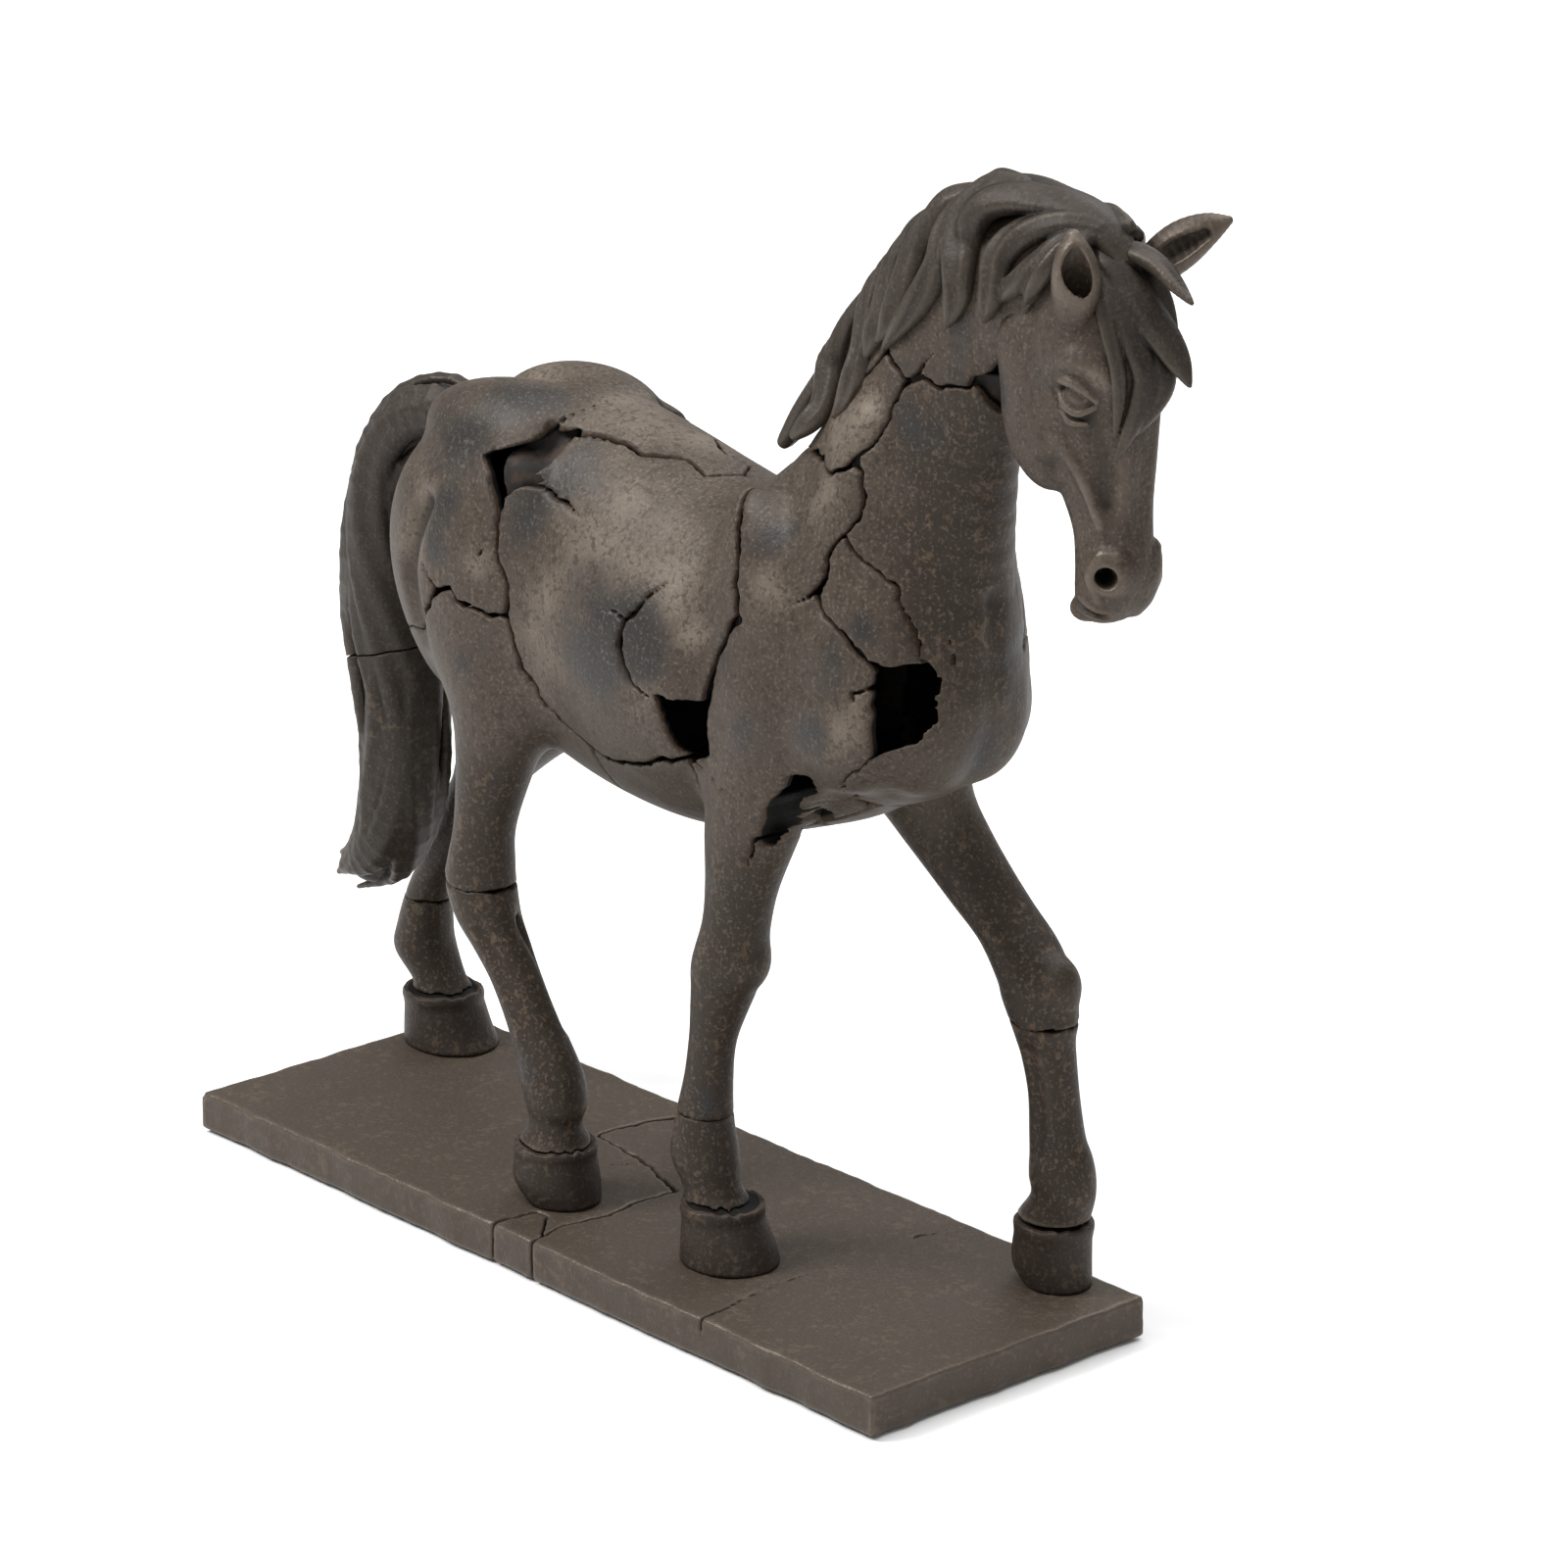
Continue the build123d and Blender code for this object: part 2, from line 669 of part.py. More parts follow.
with BuildPart() as whole_slab:
    add(block((rear_end, right_edge, slab_underside), (front_end, left_edge, slab_top)))
    chamfer(whole_slab.edges().group_by(Axis.Z)[-1], slab_bevel)
    for spot in hoof_places:
        with BuildSketch(Plane((spot.X, spot.Y, slab_underside))):
            Circle((stud_diameter + stud_clearance) / 2)
        extrude(amount=slab_thickness, mode=Mode.SUBTRACT)
        with BuildSketch(Plane((spot.X, spot.Y, slab_underside))):
            Circle((washer_diameter + counterbore_clearance) / 2)
        extrude(amount=counterbore_depth, mode=Mode.SUBTRACT)
    add(slab_dowels.part, mode=Mode.SUBTRACT)

for name, outline in {
    "base_rear_slab": rear_outline,
    "base_front_slab": front_outline,
    "base_chip": chip_outline,
}.items():
    with BuildPart() as slab_piece:
        add(whole_slab.part)
        add(plan_prism(outline, slab_crack / 2), mode=Mode.INTERSECT)
        if name == "base_rear_slab":
            add(plan_prism(chip_outline, 0.0), mode=Mode.SUBTRACT)
    save(name, largest(slab_piece.part))

with BuildPart() as felt_liner:
    low = (rear_end + felt_inset, right_edge + felt_inset, 0)
    high = (front_end - felt_inset, left_edge - felt_inset, felt_thickness)
    add(block(low, high))
    fillet(felt_liner.edges().filter_by(Axis.Z), felt_inset)
save("felt_liner", felt_liner.part)
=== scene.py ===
# %% [markdown]
# # A cracked bronze horse on a slab
# The statue is a thin casting that has broken into shell pieces, with cracks and holes that
# show its dark hollow inside. In this lesson the whole horse is modelled as a *distance
# field*: a function that says how far a point is from the skin. A field can be cut by
# cracks, hollowed to an even wall and turned into a mesh for each piece, and that is how a
# cracked casting is made here. It could be sculpted by hand instead, but then every crack
# would have to be cut again after each change of shape.

# %% Load the measured frame
import math

import bpy
import numpy as np
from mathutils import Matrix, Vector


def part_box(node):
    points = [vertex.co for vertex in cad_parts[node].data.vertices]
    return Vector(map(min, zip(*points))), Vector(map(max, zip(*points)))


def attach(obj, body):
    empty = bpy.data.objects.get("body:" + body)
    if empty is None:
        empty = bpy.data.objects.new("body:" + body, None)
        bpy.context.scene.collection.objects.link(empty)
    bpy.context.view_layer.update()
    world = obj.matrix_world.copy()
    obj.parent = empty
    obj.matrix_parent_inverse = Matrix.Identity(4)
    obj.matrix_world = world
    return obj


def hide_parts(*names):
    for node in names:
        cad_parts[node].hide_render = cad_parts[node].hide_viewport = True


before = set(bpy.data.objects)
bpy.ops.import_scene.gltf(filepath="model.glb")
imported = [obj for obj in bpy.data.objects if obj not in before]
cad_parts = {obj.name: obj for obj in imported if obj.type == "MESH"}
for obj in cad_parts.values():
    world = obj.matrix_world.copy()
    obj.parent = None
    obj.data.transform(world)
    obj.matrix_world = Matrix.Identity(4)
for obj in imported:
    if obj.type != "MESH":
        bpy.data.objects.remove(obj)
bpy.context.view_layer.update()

import openvdb as vdb
from mathutils import Matrix, Vector

MM = 0.001
slab_low, slab_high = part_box("base_front_slab")
rear_low, rear_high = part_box("base_rear_slab")
head_low, head_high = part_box("head_shell")
SLAB_TOP = slab_high.z / MM
MIDLINE = (head_low.y + head_high.y) / 2 / MM
print("slab top", round(SLAB_TOP, 2), "mm, midline of the horse", round(MIDLINE, 2), "mm")

# %% [markdown]
# ## The camera
# A long lens a few metres away, a little above the back of the horse. It comes first, so
# that every later step can be judged from the same place. Its direction is an angle round
# the statue and an angle above the ground, and its target is a point on the line of sight.

# %% Place the camera
VIEW_TURN = math.radians(48.32)
VIEW_RISE = math.radians(18.53)
VIEW_DISTANCE = 3.3716
LENS = 139.16
VIEW_TARGET = Vector((-0.40125, 0.43828, SLAB_TOP * MM))

away = Vector((
    math.sin(VIEW_TURN) * math.cos(VIEW_RISE),
    -math.cos(VIEW_TURN) * math.cos(VIEW_RISE),
    math.sin(VIEW_RISE),
))
camera_data = bpy.data.cameras.new("camera")
camera_data.lens = LENS
camera_data.sensor_width = 36.0
camera_data.clip_end = 50.0
camera = bpy.data.objects.new("camera", camera_data)
bpy.context.scene.collection.objects.link(camera)
camera.location = VIEW_TARGET + away * VIEW_DISTANCE
camera.rotation_mode = "QUATERNION"
camera.rotation_quaternion = (-away).to_track_quat("-Z", "Y")
bpy.context.scene.camera = camera
print("camera at", [round(v, 3) for v in camera.location])

# %% [markdown]
# ## Blending forms
# Two clay forms pressed together meet in a soft fillet. `soft_min` does that to two
# distance fields: `k` is the size of the fillet in millimetres. `soft_max` is the same for
# cutting. All lengths below are millimetres, with z from the top of the slab and y from
# the midline of the horse, and every table is a handful of chosen stations.

# %% Soft union and soft cut
def soft_min(a, b, k):
    """Union of two fields with a fillet of size k."""
    h = np.clip(0.5 + 0.5 * (b - a) / k, 0.0, 1.0)
    return b * (1 - h) + a * h - k * h * (1 - h)


def soft_max(a, b, k):
    """Intersection of two fields with a fillet of size k."""
    return -soft_min(-a, -b, k)


def smooth_rows(rows, steps=8):
    """Rows of a table with smooth (Catmull-Rom) rows added between them."""
    r = np.array(rows, float)
    padded = np.vstack([2 * r[0] - r[1], r, 2 * r[-1] - r[-2]])
    out = []
    for i in range(1, len(padded) - 2):
        a, b, c, d = padded[i - 1:i + 3]
        for k in range(steps):
            t = k / steps
            out.append(0.5 * (2 * b + (c - a) * t + (2 * a - 5 * b + 4 * c - d) * t ** 2
                              + (3 * b - a - 3 * c + d) * t ** 3))
    out.append(padded[-2])
    return np.array(out)


# %% [markdown]
# ## The forms a horse is blocked out with
# Sculptors build a horse from a few masses: a barrel, tapering limbs, egg-shaped muscles.
# Each function here returns a form as its low corner, its high corner and its field, so
# that it's only worked out where it matters.
# - `barrel` runs along X with upright oval sections.
# - `limb` runs up Z with level oval sections.
# - `cord_form` follows a path in the side view with a changing radius.
# - `muscle` is an egg at any angle.

# %% Forms
def turn_matrix(rx, ry, rz):
    """Rotation from three angles in degrees."""
    return np.array((Matrix.Rotation(math.radians(rz), 3, "Z")
                     @ Matrix.Rotation(math.radians(ry), 3, "Y")
                     @ Matrix.Rotation(math.radians(rx), 3, "X")))


def muscle(centre, radii, turn=(0, 0, 0)):
    """Egg-shaped form."""
    c, r, m = np.array(centre, float), np.array(radii, float), turn_matrix(*turn)
    reach = np.sqrt((m ** 2) @ (r ** 2))

    def field(x, y, z):
        dx, dy, dz = x - c[0], y - c[1], z - c[2]
        u, v, w = [m[0, i] * dx + m[1, i] * dy + m[2, i] * dz for i in range(3)]
        k0 = np.sqrt((u / r[0]) ** 2 + (v / r[1]) ** 2 + (w / r[2]) ** 2) + 1e-6
        k1 = np.sqrt((u / r[0] ** 2) ** 2 + (v / r[1] ** 2) ** 2 + (w / r[2] ** 2) ** 2) + 1e-6
        return k0 * (k0 - 1) / k1

    return c - reach, c + reach, field


def limb(rows):
    """Upright form: rows of height, x, y, half length, half width."""
    t = smooth_rows(sorted(rows))
    z0, z1 = t[0, 0], t[-1, 0]
    lean_x, lean_y = np.gradient(t[:, 1], t[:, 0]), np.gradient(t[:, 2], t[:, 0])
    low = [(t[:, 1] - t[:, 3]).min(), (t[:, 2] - t[:, 4]).min(), z0]
    high = [(t[:, 1] + t[:, 3]).max(), (t[:, 2] + t[:, 4]).max(), z1]

    def field(x, y, z):
        level = np.clip(z, z0, z1)
        cx, cy, rx, ry, sx, sy = [np.interp(level, t[:, 0], column) for column in
                                  (t[:, 1], t[:, 2], t[:, 3], t[:, 4], lean_x, lean_y)]
        dx, dy = x - cx, y - cy
        q = np.sqrt((dx / rx) ** 2 + (dy / ry) ** 2) + 1e-6
        g = np.sqrt((dx / rx ** 2) ** 2 + (dy / ry ** 2) ** 2) / q + 1e-6
        d = (q - 1) / (g * np.sqrt(1 + 0.8 * (sx * sx + sy * sy)))
        over = np.maximum(z0 - z, z - z1)
        return np.where(over > 0, np.sqrt(np.maximum(d, 0) ** 2 + over ** 2), d)

    return low, high, field


def barrel(rows):
    """Lying form: rows of x, middle height, half height, half width."""
    t = smooth_rows(sorted(rows))
    x0, x1 = t[0, 0], t[-1, 0]
    low = [x0, -t[:, 3].max(), (t[:, 1] - t[:, 2]).min()]
    high = [x1, t[:, 3].max(), (t[:, 1] + t[:, 2]).max()]

    def field(x, y, z):
        along = np.clip(x, x0, x1)
        cz, rz, ry = [np.interp(along, t[:, 0], t[:, i]) for i in (1, 2, 3)]
        q = np.sqrt((y / ry) ** 2 + ((z - cz) / rz) ** 2) + 1e-6
        g = np.sqrt((y / ry ** 2) ** 2 + ((z - cz) / rz ** 2) ** 2) / q + 1e-6
        d = (q - 1) / g
        over = np.maximum(x0 - x, x - x1)
        return np.where(over > 0, np.sqrt(np.maximum(d, 0) ** 2 + over ** 2), d)

    return low, high, field


def cord_form(rows, steps=4):
    """Form along a path: rows of x, y, z, radius, flatness (above 1 is narrow across y)."""
    t = smooth_rows(rows, steps)
    r = np.abs(t[:, 3])
    low = [(t[:, 0] - r).min(), (t[:, 1] - r / t[:, 4]).min(), (t[:, 2] - r).min()]
    high = [(t[:, 0] + r).max(), (t[:, 1] + r / t[:, 4]).max(), (t[:, 2] + r).max()]

    def field(x, y, z):
        best = None
        for a, b in zip(t[:-1], t[1:]):
            ax, az = b[0] - a[0], b[2] - a[2]
            s = np.clip(((x - a[0]) * ax + (z - a[2]) * az) / (ax * ax + az * az + 1e-9), 0, 1)
            radius, flat = a[3] + (b[3] - a[3]) * s, a[4] + (b[4] - a[4]) * s
            dx, dz = x - a[0] - ax * s, z - a[2] - az * s
            dy = y - a[1] - (b[1] - a[1]) * s
            q = np.sqrt(dx * dx + dz * dz + (dy * flat) ** 2) + 1e-6
            g = np.sqrt(dx * dx + dz * dz + (dy * flat * flat) ** 2) / q + 1e-6
            d = (q - radius) / g
            best = d if best is None else np.minimum(best, d)
        return best

    return low, high, field


# %% [markdown]
# ## A block of clay
# `Clay` is a box of grid points around one piece. Forms are pressed on with `add`, and cut
# away with `carve`. Each form is only worked out inside its own small window of the box.

# %% Clay
class Clay:
    """Distance field on a grid of points, spacing in millimetres."""

    def __init__(self, low, high, spacing):
        self.low = np.array(low, float)
        self.spacing = spacing
        self.count = np.ceil((np.array(high) - self.low) / spacing).astype(int) + 1
        self.field = np.full(self.count, 25.0, np.float32)

    def points(self, first=(0, 0, 0), last=None):
        """Grid coordinates of a window, one thin array for each axis."""
        last = self.count if last is None else last
        lines = [(self.low[i] + self.spacing * np.arange(first[i], last[i])).astype(np.float32)
                 for i in range(3)]
        return np.meshgrid(*lines, indexing="ij", sparse=True)

    def window(self, form, margin):
        """The part of the grid that a form can reach, or None."""
        low, high, _ = form
        first = np.floor((np.array(low) - margin - self.low) / self.spacing).astype(int)
        last = np.ceil((np.array(high) + margin - self.low) / self.spacing).astype(int) + 1
        first, last = np.clip(first, 0, self.count), np.clip(last, 0, self.count)
        return None if (last <= first).any() else (first, last)

    def press(self, form, k, blend):
        found = self.window(form, k + 10.0)
        if found is None:
            return
        first, last = found
        part = tuple(slice(a, b) for a, b in zip(first, last))
        self.field[part] = blend(self.field[part], form[2](*self.points(first, last)), k)

    def add(self, form, k=8.0):
        self.press(form, k, soft_min)

    def carve(self, form, k=2.0):
        self.press(form, k, lambda old, new, size: soft_max(old, -new, size))


# %% [markdown]
# ## The masses of the horse
# Real horses are built on a barrel between two arches. The stations of the trunk give its
# back line and belly line, the legs are stacks of ovals with the swellings of knee, hock
# and fetlock, and the muscles lie over them as eggs. Two forms join with a large fillet
# where flesh is soft and a small one where bone is near the skin.

# %% Trunk, neck and muscles
TRUNK = [
    (-152, 286, 30, 26), (-140, 287, 50, 42), (-120, 289, 66, 52), (-90, 289, 78, 57),
    (-60, 286, 85, 58), (-30, 281, 88, 59), (0, 276, 87, 61), (30, 272, 84, 62),
    (55, 271, 81, 61), (80, 275, 81, 57), (110, 284, 80, 52), (140, 290, 74, 47),
    (165, 293, 62, 43), (185, 295, 48, 36),
]
NECK = [
    (140, 0, 312, 70, 1.55), (160, 0, 365, 54, 1.6), (178, 0, 415, 45, 1.75),
    (205, 0, 452, 39, 1.8), (240, 0, 470, 33, 1.6), (262, 0, 478, 27, 1.35),
]


def both_sides(centre, radii, turn=(0, 0, 0), shift=0.0):
    """A muscle on the right side and its twin on the left, moved forward by shift."""
    x, y, z = centre
    rx, ry, rz = turn
    return [muscle((x, -y, z), radii, (rx, ry, rz)),
            muscle((x + shift, y, z), radii, (-rx, ry, -rz))]


body_forms = [(barrel(TRUNK), 8), (muscle((165, 0, 285), (42, 46, 52)), 14),
              (muscle((-115, 0, 300), (45, 50, 50)), 14), (cord_form(NECK), 22)]
for size, forms in (
    (14, both_sides((-89, 33, 292), (56, 29, 62), (0, 10, 0), -12)),     # haunch
    (12, both_sides((-72, 37, 256), (40, 24, 45), (0, 15, 0), -16)),     # thigh
    (8, both_sides((-122, 27, 270), (20, 24, 52), (0, -8, 0), -10)),     # back of the thigh
    (9, both_sides((-54, 42, 340), (20, 14, 15), (0, 20, 0))),           # point of the hip
    (10, both_sides((-88, 22, 352), (48, 24, 20), (0, -6, 0))),          # loin to croup
    (12, both_sides((118, 36, 300), (26, 18, 66), (0, -20, 0), 6)),      # shoulder blade
    (9, both_sides((112, 41, 272), (26, 19, 30), (0, 25, 0), 6)),        # triceps
    (8, both_sides((158, 34, 268), (30, 19, 28), (0, -30, 0), 6)),       # point of shoulder
    (8, both_sides((188, 17, 268), (17, 18, 26), (0, 10, 0))),           # breast
    (10, both_sides((150, 25, 350), (20, 15, 60), (0, 12, 0))),          # base of the neck
    (12, both_sides((40, 44, 268), (52, 20, 44))),                       # ribs
):
    body_forms += [(form, size) for form in forms]
body_cuts = [
    (cord_form([(-150, 0, 330, 3, 1), (-120, 0, 362, 3, 1), (-60, 0, 377, 3, 1)]), 9),
    (cord_form([(-100, -58, 318, 2, 1), (-112, -60, 285, 3, 1), (-108, -58, 248, 2, 1)]), 9),
    (cord_form([(-112, 58, 318, 2, 1), (-124, 60, 285, 3, 1), (-120, 58, 248, 2, 1)]), 9),
    (cord_form([(212, 0, 330, 2, 1), (217, 0, 285, 3, 1), (205, 0, 240, 2, 1)]), 8),
    (cord_form([(96, -60, 360, 1, 1), (92, -64, 320, 2, 1), (84, -62, 262, 1, 1)]), 8),
    (cord_form([(96, 60, 360, 1, 1), (92, 64, 320, 2, 1), (84, 62, 262, 1, 1)]), 8),
    (cord_form([(150, -52, 322, 2, 1), (138, -60, 300, 3, 1), (135, -62, 262, 2, 1)]), 7),
    (cord_form([(156, 52, 322, 2, 1), (144, 60, 300, 3, 1), (141, 62, 262, 2, 1)]), 7),
]
print(len(body_forms), "masses and", len(body_cuts), "furrows on the body")

# %% Legs: height, x, y, half length, half width
LEGS = {
    "front_right": [
        (24, 80, -40, 17, 16.5), (32, 74, -40, 14, 13), (47, 69, -40, 16.5, 15),
        (64, 69, -40, 13.5, 13), (84, 72, -40, 11.5, 10.5), (104, 75, -40, 11.5, 10.5),
        (128, 82, -40, 15, 14.5), (143, 86, -40, 17.5, 16.5), (163, 91, -40, 16, 15),
        (182, 95, -40, 18, 15.5), (210, 102, -40, 25, 18), (240, 108, -37, 31, 19),
        (275, 112, -30, 22, 14),
    ],
    "hind_right": [
        (26, -25, -50, 18, 17), (37, -24.5, -50, 13, 12), (46, -24, -50, 15.5, 13.5),
        (57, -26.6, -50, 16.5, 14.5), (66, -30, -50, 16.5, 13), (82, -39.5, -50, 14.5, 12),
        (99, -50.5, -50, 14, 12), (112, -61, -50, 15.5, 13), (124, -71, -50, 17, 14.5),
        (138, -76, -50, 18, 15.5), (150, -76, -50, 17, 15), (169, -74, -49, 15.5, 14),
        (199, -68, -47, 20, 17.5), (228, -64, -44, 29, 21), (255, -70, -38, 36, 22),
        (290, -74, -30, 28, 14),
    ],
    "front_left": [
        (32, 200, 52, 17, 16), (43, 205.6, 52, 15, 14), (52, 205, 52, 15.5, 14.5),
        (61, 204, 52, 14.5, 13.5), (70, 201.6, 52, 13, 12), (88, 199, 52, 12, 11),
        (105, 195.5, 52, 12.5, 12), (114, 193, 52, 14, 13), (123, 191.6, 52, 16.5, 15),
        (131, 189, 52, 18, 16), (140, 186, 52, 18.5, 16.5), (155, 175, 52, 19.5, 16.5),
        (169, 160, 50, 20.5, 17), (184, 146, 47, 23, 17.5), (199, 133, 44, 26, 18.5),
        (215, 123, 40, 29, 20), (240, 117, 36, 32, 20), (275, 114, 28, 22, 14),
    ],
    "hind_left": [
        (24, -219, 39, 19, 18), (30, -221, 39, 14.5, 13), (44, -232, 39, 16.5, 15),
        (57, -232, 39, 14.5, 13.5), (78, -226, 39, 12, 11.5), (110, -206, 40, 13.5, 13),
        (130, -193, 41, 17, 15), (145, -182, 42, 20, 16), (160, -165, 42, 22, 17),
        (180, -140, 42, 26, 19), (205, -112, 42, 32, 22), (235, -94, 38, 36, 24),
        (280, -86, 30, 28, 15),
    ],
}
body_forms += [(limb(rows), 12) for rows in LEGS.values()]
for x, y, z, lean in ((95, -40, 145, 0), (198, 52, 140, -14)):
    body_forms.append((muscle((x, y, z), (11, 12.5, 13), (0, lean, 0)), 5))  # knee cap
for path in (
    [(-94, -50, 142, 5, 1), (-90, -49, 162, 3.5, 1), (-82, -48, 184, 2, 1)],         # hocks
    [(-201, 42, 146, 5, 1), (-190, 42, 166, 3.5, 1), (-170, 42, 188, 2, 1)],
):
    body_forms.append((cord_form(path), 7))
for rows in LEGS.values():
    heights, middles, sides, lengths, _ = np.array(rows, float).T
    tendon = []
    for z, thick in ((108, 2.0), (94, 2.6), (80, 3.0), (64, 4.0), (54, 4.5)):
        back = np.interp(z, heights, middles) - 0.86 * np.interp(z, heights, lengths)
        tendon.append((back, np.interp(z, heights, sides), z, thick, 1))
    body_forms.append((cord_form(tendon), 6))
print("legs:", ", ".join(LEGS))

# %% [markdown]
# ## Head
# The head hangs almost straight down. Its planes come from bone: a disc of a cheek, an
# eye socket under a heavy brow, a thin nasal bone and a soft muzzle with round nostrils.
# Bone lies near the skin, so the fillets here are small and the grid is finer.

# %% Head forms
HEAD = [
    (341, 281, 0, 11, 12), (350, 282, 0, 15, 16), (362, 283, 0, 17, 16),
    (376, 281, 0, 18, 14.5), (392, 276, 0, 21, 16), (408, 271, 0, 27, 19),
    (426, 269, 0, 31, 22), (446, 270, 0, 32, 25), (466, 270, 0, 29, 24),
    (484, 268, 0, 22, 20), (498, 264, 0, 12, 13),
]
head_forms, head_cuts = [(limb(HEAD), 6)], []
for side in (-1, 1):
    def at(x, y, z):
        return x, side * y, z

    head_forms += [
        (muscle(at(254, 14, 424), (23, 10, 33), (0, -12, 0)), 4),        # cheek
        (muscle(at(246, 14, 446), (16, 10, 24), (0, -20, 0)), 6),
        (cord_form([(*at(271, 20, 448), 4, 1), (*at(279, 20.5, 452), 6, 1),
                    (*at(288, 18, 450), 5.5, 1), (*at(294, 13, 442), 3.5, 1)]), 4),  # brow
        (cord_form([(*at(270, 19, 418), 3, 1), (*at(282, 15.5, 398), 3, 1),
                    (*at(287, 12, 382), 2, 1)]), 4),                     # facial crest
        (cord_form([(*at(294, 7, 436), 4, 1), (*at(294, 6.5, 410), 4, 1),
                    (*at(293, 6, 385), 3.5, 1), (*at(293, 6, 368), 3, 1)]), 4),      # nasal bone
        (muscle(at(290, 9, 361), (9.5, 8.5, 13), (0, 0, 0)), 4),         # nostril wing
        (cord_form([(*at(289, 14.5, 352), 2.4, 1), (*at(285.5, 16.5, 360), 2.6, 1),
                    (*at(289, 15, 369), 2.6, 1), (*at(295, 11.5, 370), 2.4, 1)]), 2),
        (muscle(at(284, 7, 348), (12, 9, 9), (0, -20, 0)), 4),           # upper lip
        (muscle(at(274, 5, 343), (9, 8, 6.5), (0, -15, 0)), 3),          # lower lip, chin
    ]
    head_cuts += [
        (muscle(at(279, 25, 437), (9, 5.5, 7.5), (0, 25, 0)), 4),        # eye socket
        (cord_form([(*at(283, 8, 361), 3.2, 1), (*at(293, 15, 361), 4.6, 1.0),
                    (*at(299, 20, 361.5), 5.2, 1)]), 1.2),               # nostril
        (cord_form([(*at(262, 17, 350), 1.2, 1), (*at(274, 17, 347), 1.5, 1),
                    (*at(290, 12, 343), 1.2, 1)]), 2),                   # mouth
        (cord_form([(*at(266, 23, 403), 3, 1), (*at(278, 20, 380), 4, 1),
                    (*at(282, 19, 370), 2, 1)]), 7),                     # hollow of the face
        (cord_form([(*at(288, 21, 430), 2, 1), (*at(290, 16, 412), 3, 1),
                    (*at(290, 14, 392), 2, 1)]), 6),
    ]
eye_forms = []
for side in (-1, 1):
    eye_forms += [
        (muscle((279.5, side * 18.5, 436.5), (7.5, 5.5, 5.5), (0, 25, 0)), 0.8),
        (cord_form([(270.5, side * 21.5, 441, 1.4, 1), (276, side * 23.6, 443.5, 2.6, 1),
                    (283, side * 22.6, 442, 2.6, 1), (289.5, side * 18.6, 436, 1.4, 1)]), 1.2),
        (cord_form([(271, side * 22, 439, 1.0, 1), (275.5, side * 23.4, 433, 1.7, 1),
                    (282, side * 22.2, 430, 1.7, 1), (289, side * 18.6, 433, 1.0, 1)]), 1.2),
        (cord_form([(273, side * 22.6, 430, 0.8, 1), (279, side * 22.4, 425.5, 1.4, 1),
                    (286, side * 20.0, 426, 0.8, 1)]), 2.0),
    ]
EARS = {
    "ear_right": [(275, -15, 462, 5.5, 1), (277, -18, 470, 8, 1), (279, -21, 478, 10, 1.05),
                  (281, -23, 487, 10.6, 1.1), (281, -24, 495, 8.5, 1.2), (280, -24, 503, 4, 1.4)],
    "ear_left": [(279, 15, 478, 7, 1.2), (285, 20, 487, 9.5, 1.4), (293, 25, 495, 10, 1.6),
                 (302, 30, 502, 7, 1.7), (311, 34, 507, 2, 1.6)],
}
print(len(head_forms), "masses on the head")

# %% [markdown]
# ## Where the shell is broken
# Seen from the side, each shell piece is a patch with a jagged outline. Neighbours share
# the same corner points, so that they fit. A patch is turned into a field of its own, which
# says how far a point is from the outline, and the skin is kept only inside it.
#
# The points of an outline are (x, z). Small steps of noise roughen the straight runs
# between them, the same way for both neighbours.

# %% Outlines of the shell pieces
FLANK = [(-52, 330), (-53, 318), (-49, 303), (-44, 291), (-42, 284), (-44, 278)]
THIGH_FRONT = [(-40, 268), (-38, 259), (-36, 252), (-30, 247), (-25, 238), (-13, 231), (3, 225)]
THIGH_TOP = [(-53, 276), (-63, 277), (-74, 278), (-79, 283), (-89, 280), (-101, 267), (-112, 255),
             (-190, 236)]
BELLY = [(13, 221), (27, 225), (40, 227), (55, 233), (68, 236), (76, 238)]
GIRTH = [(88, 244), (90, 266), (94, 281), (98, 293), (104, 304), (110, 311), (106, 323),
         (105, 336), (102, 347), (98, 358), (96, 368), (84, 430)]
NECK_FOOT = [(96, 400), (100, 380), (106, 377), (118, 381), (135, 382), (147, 380), (157, 383),
             (162, 387)]
NECK_FRONT = [(166, 384), (168, 374), (167, 363), (161, 356), (153, 346), (153, 338), (150, 328)]
POINT_REAR = [(156, 321), (162, 317), (170, 313), (174, 309), (181, 304)]
POINT_TOP = [(164, 351), (171, 345), (180, 341), (187, 336), (191, 327), (195, 319), (198, 309),
             (202, 301)]
THROAT = [(168, 394), (174, 404), (176, 415), (183, 425)]
MANE_FOOT = [(146, 413), (158, 424), (168, 434), (174, 429)]
JAW = [(190, 428), (201, 425), (213, 427), (218, 432), (233, 442)]

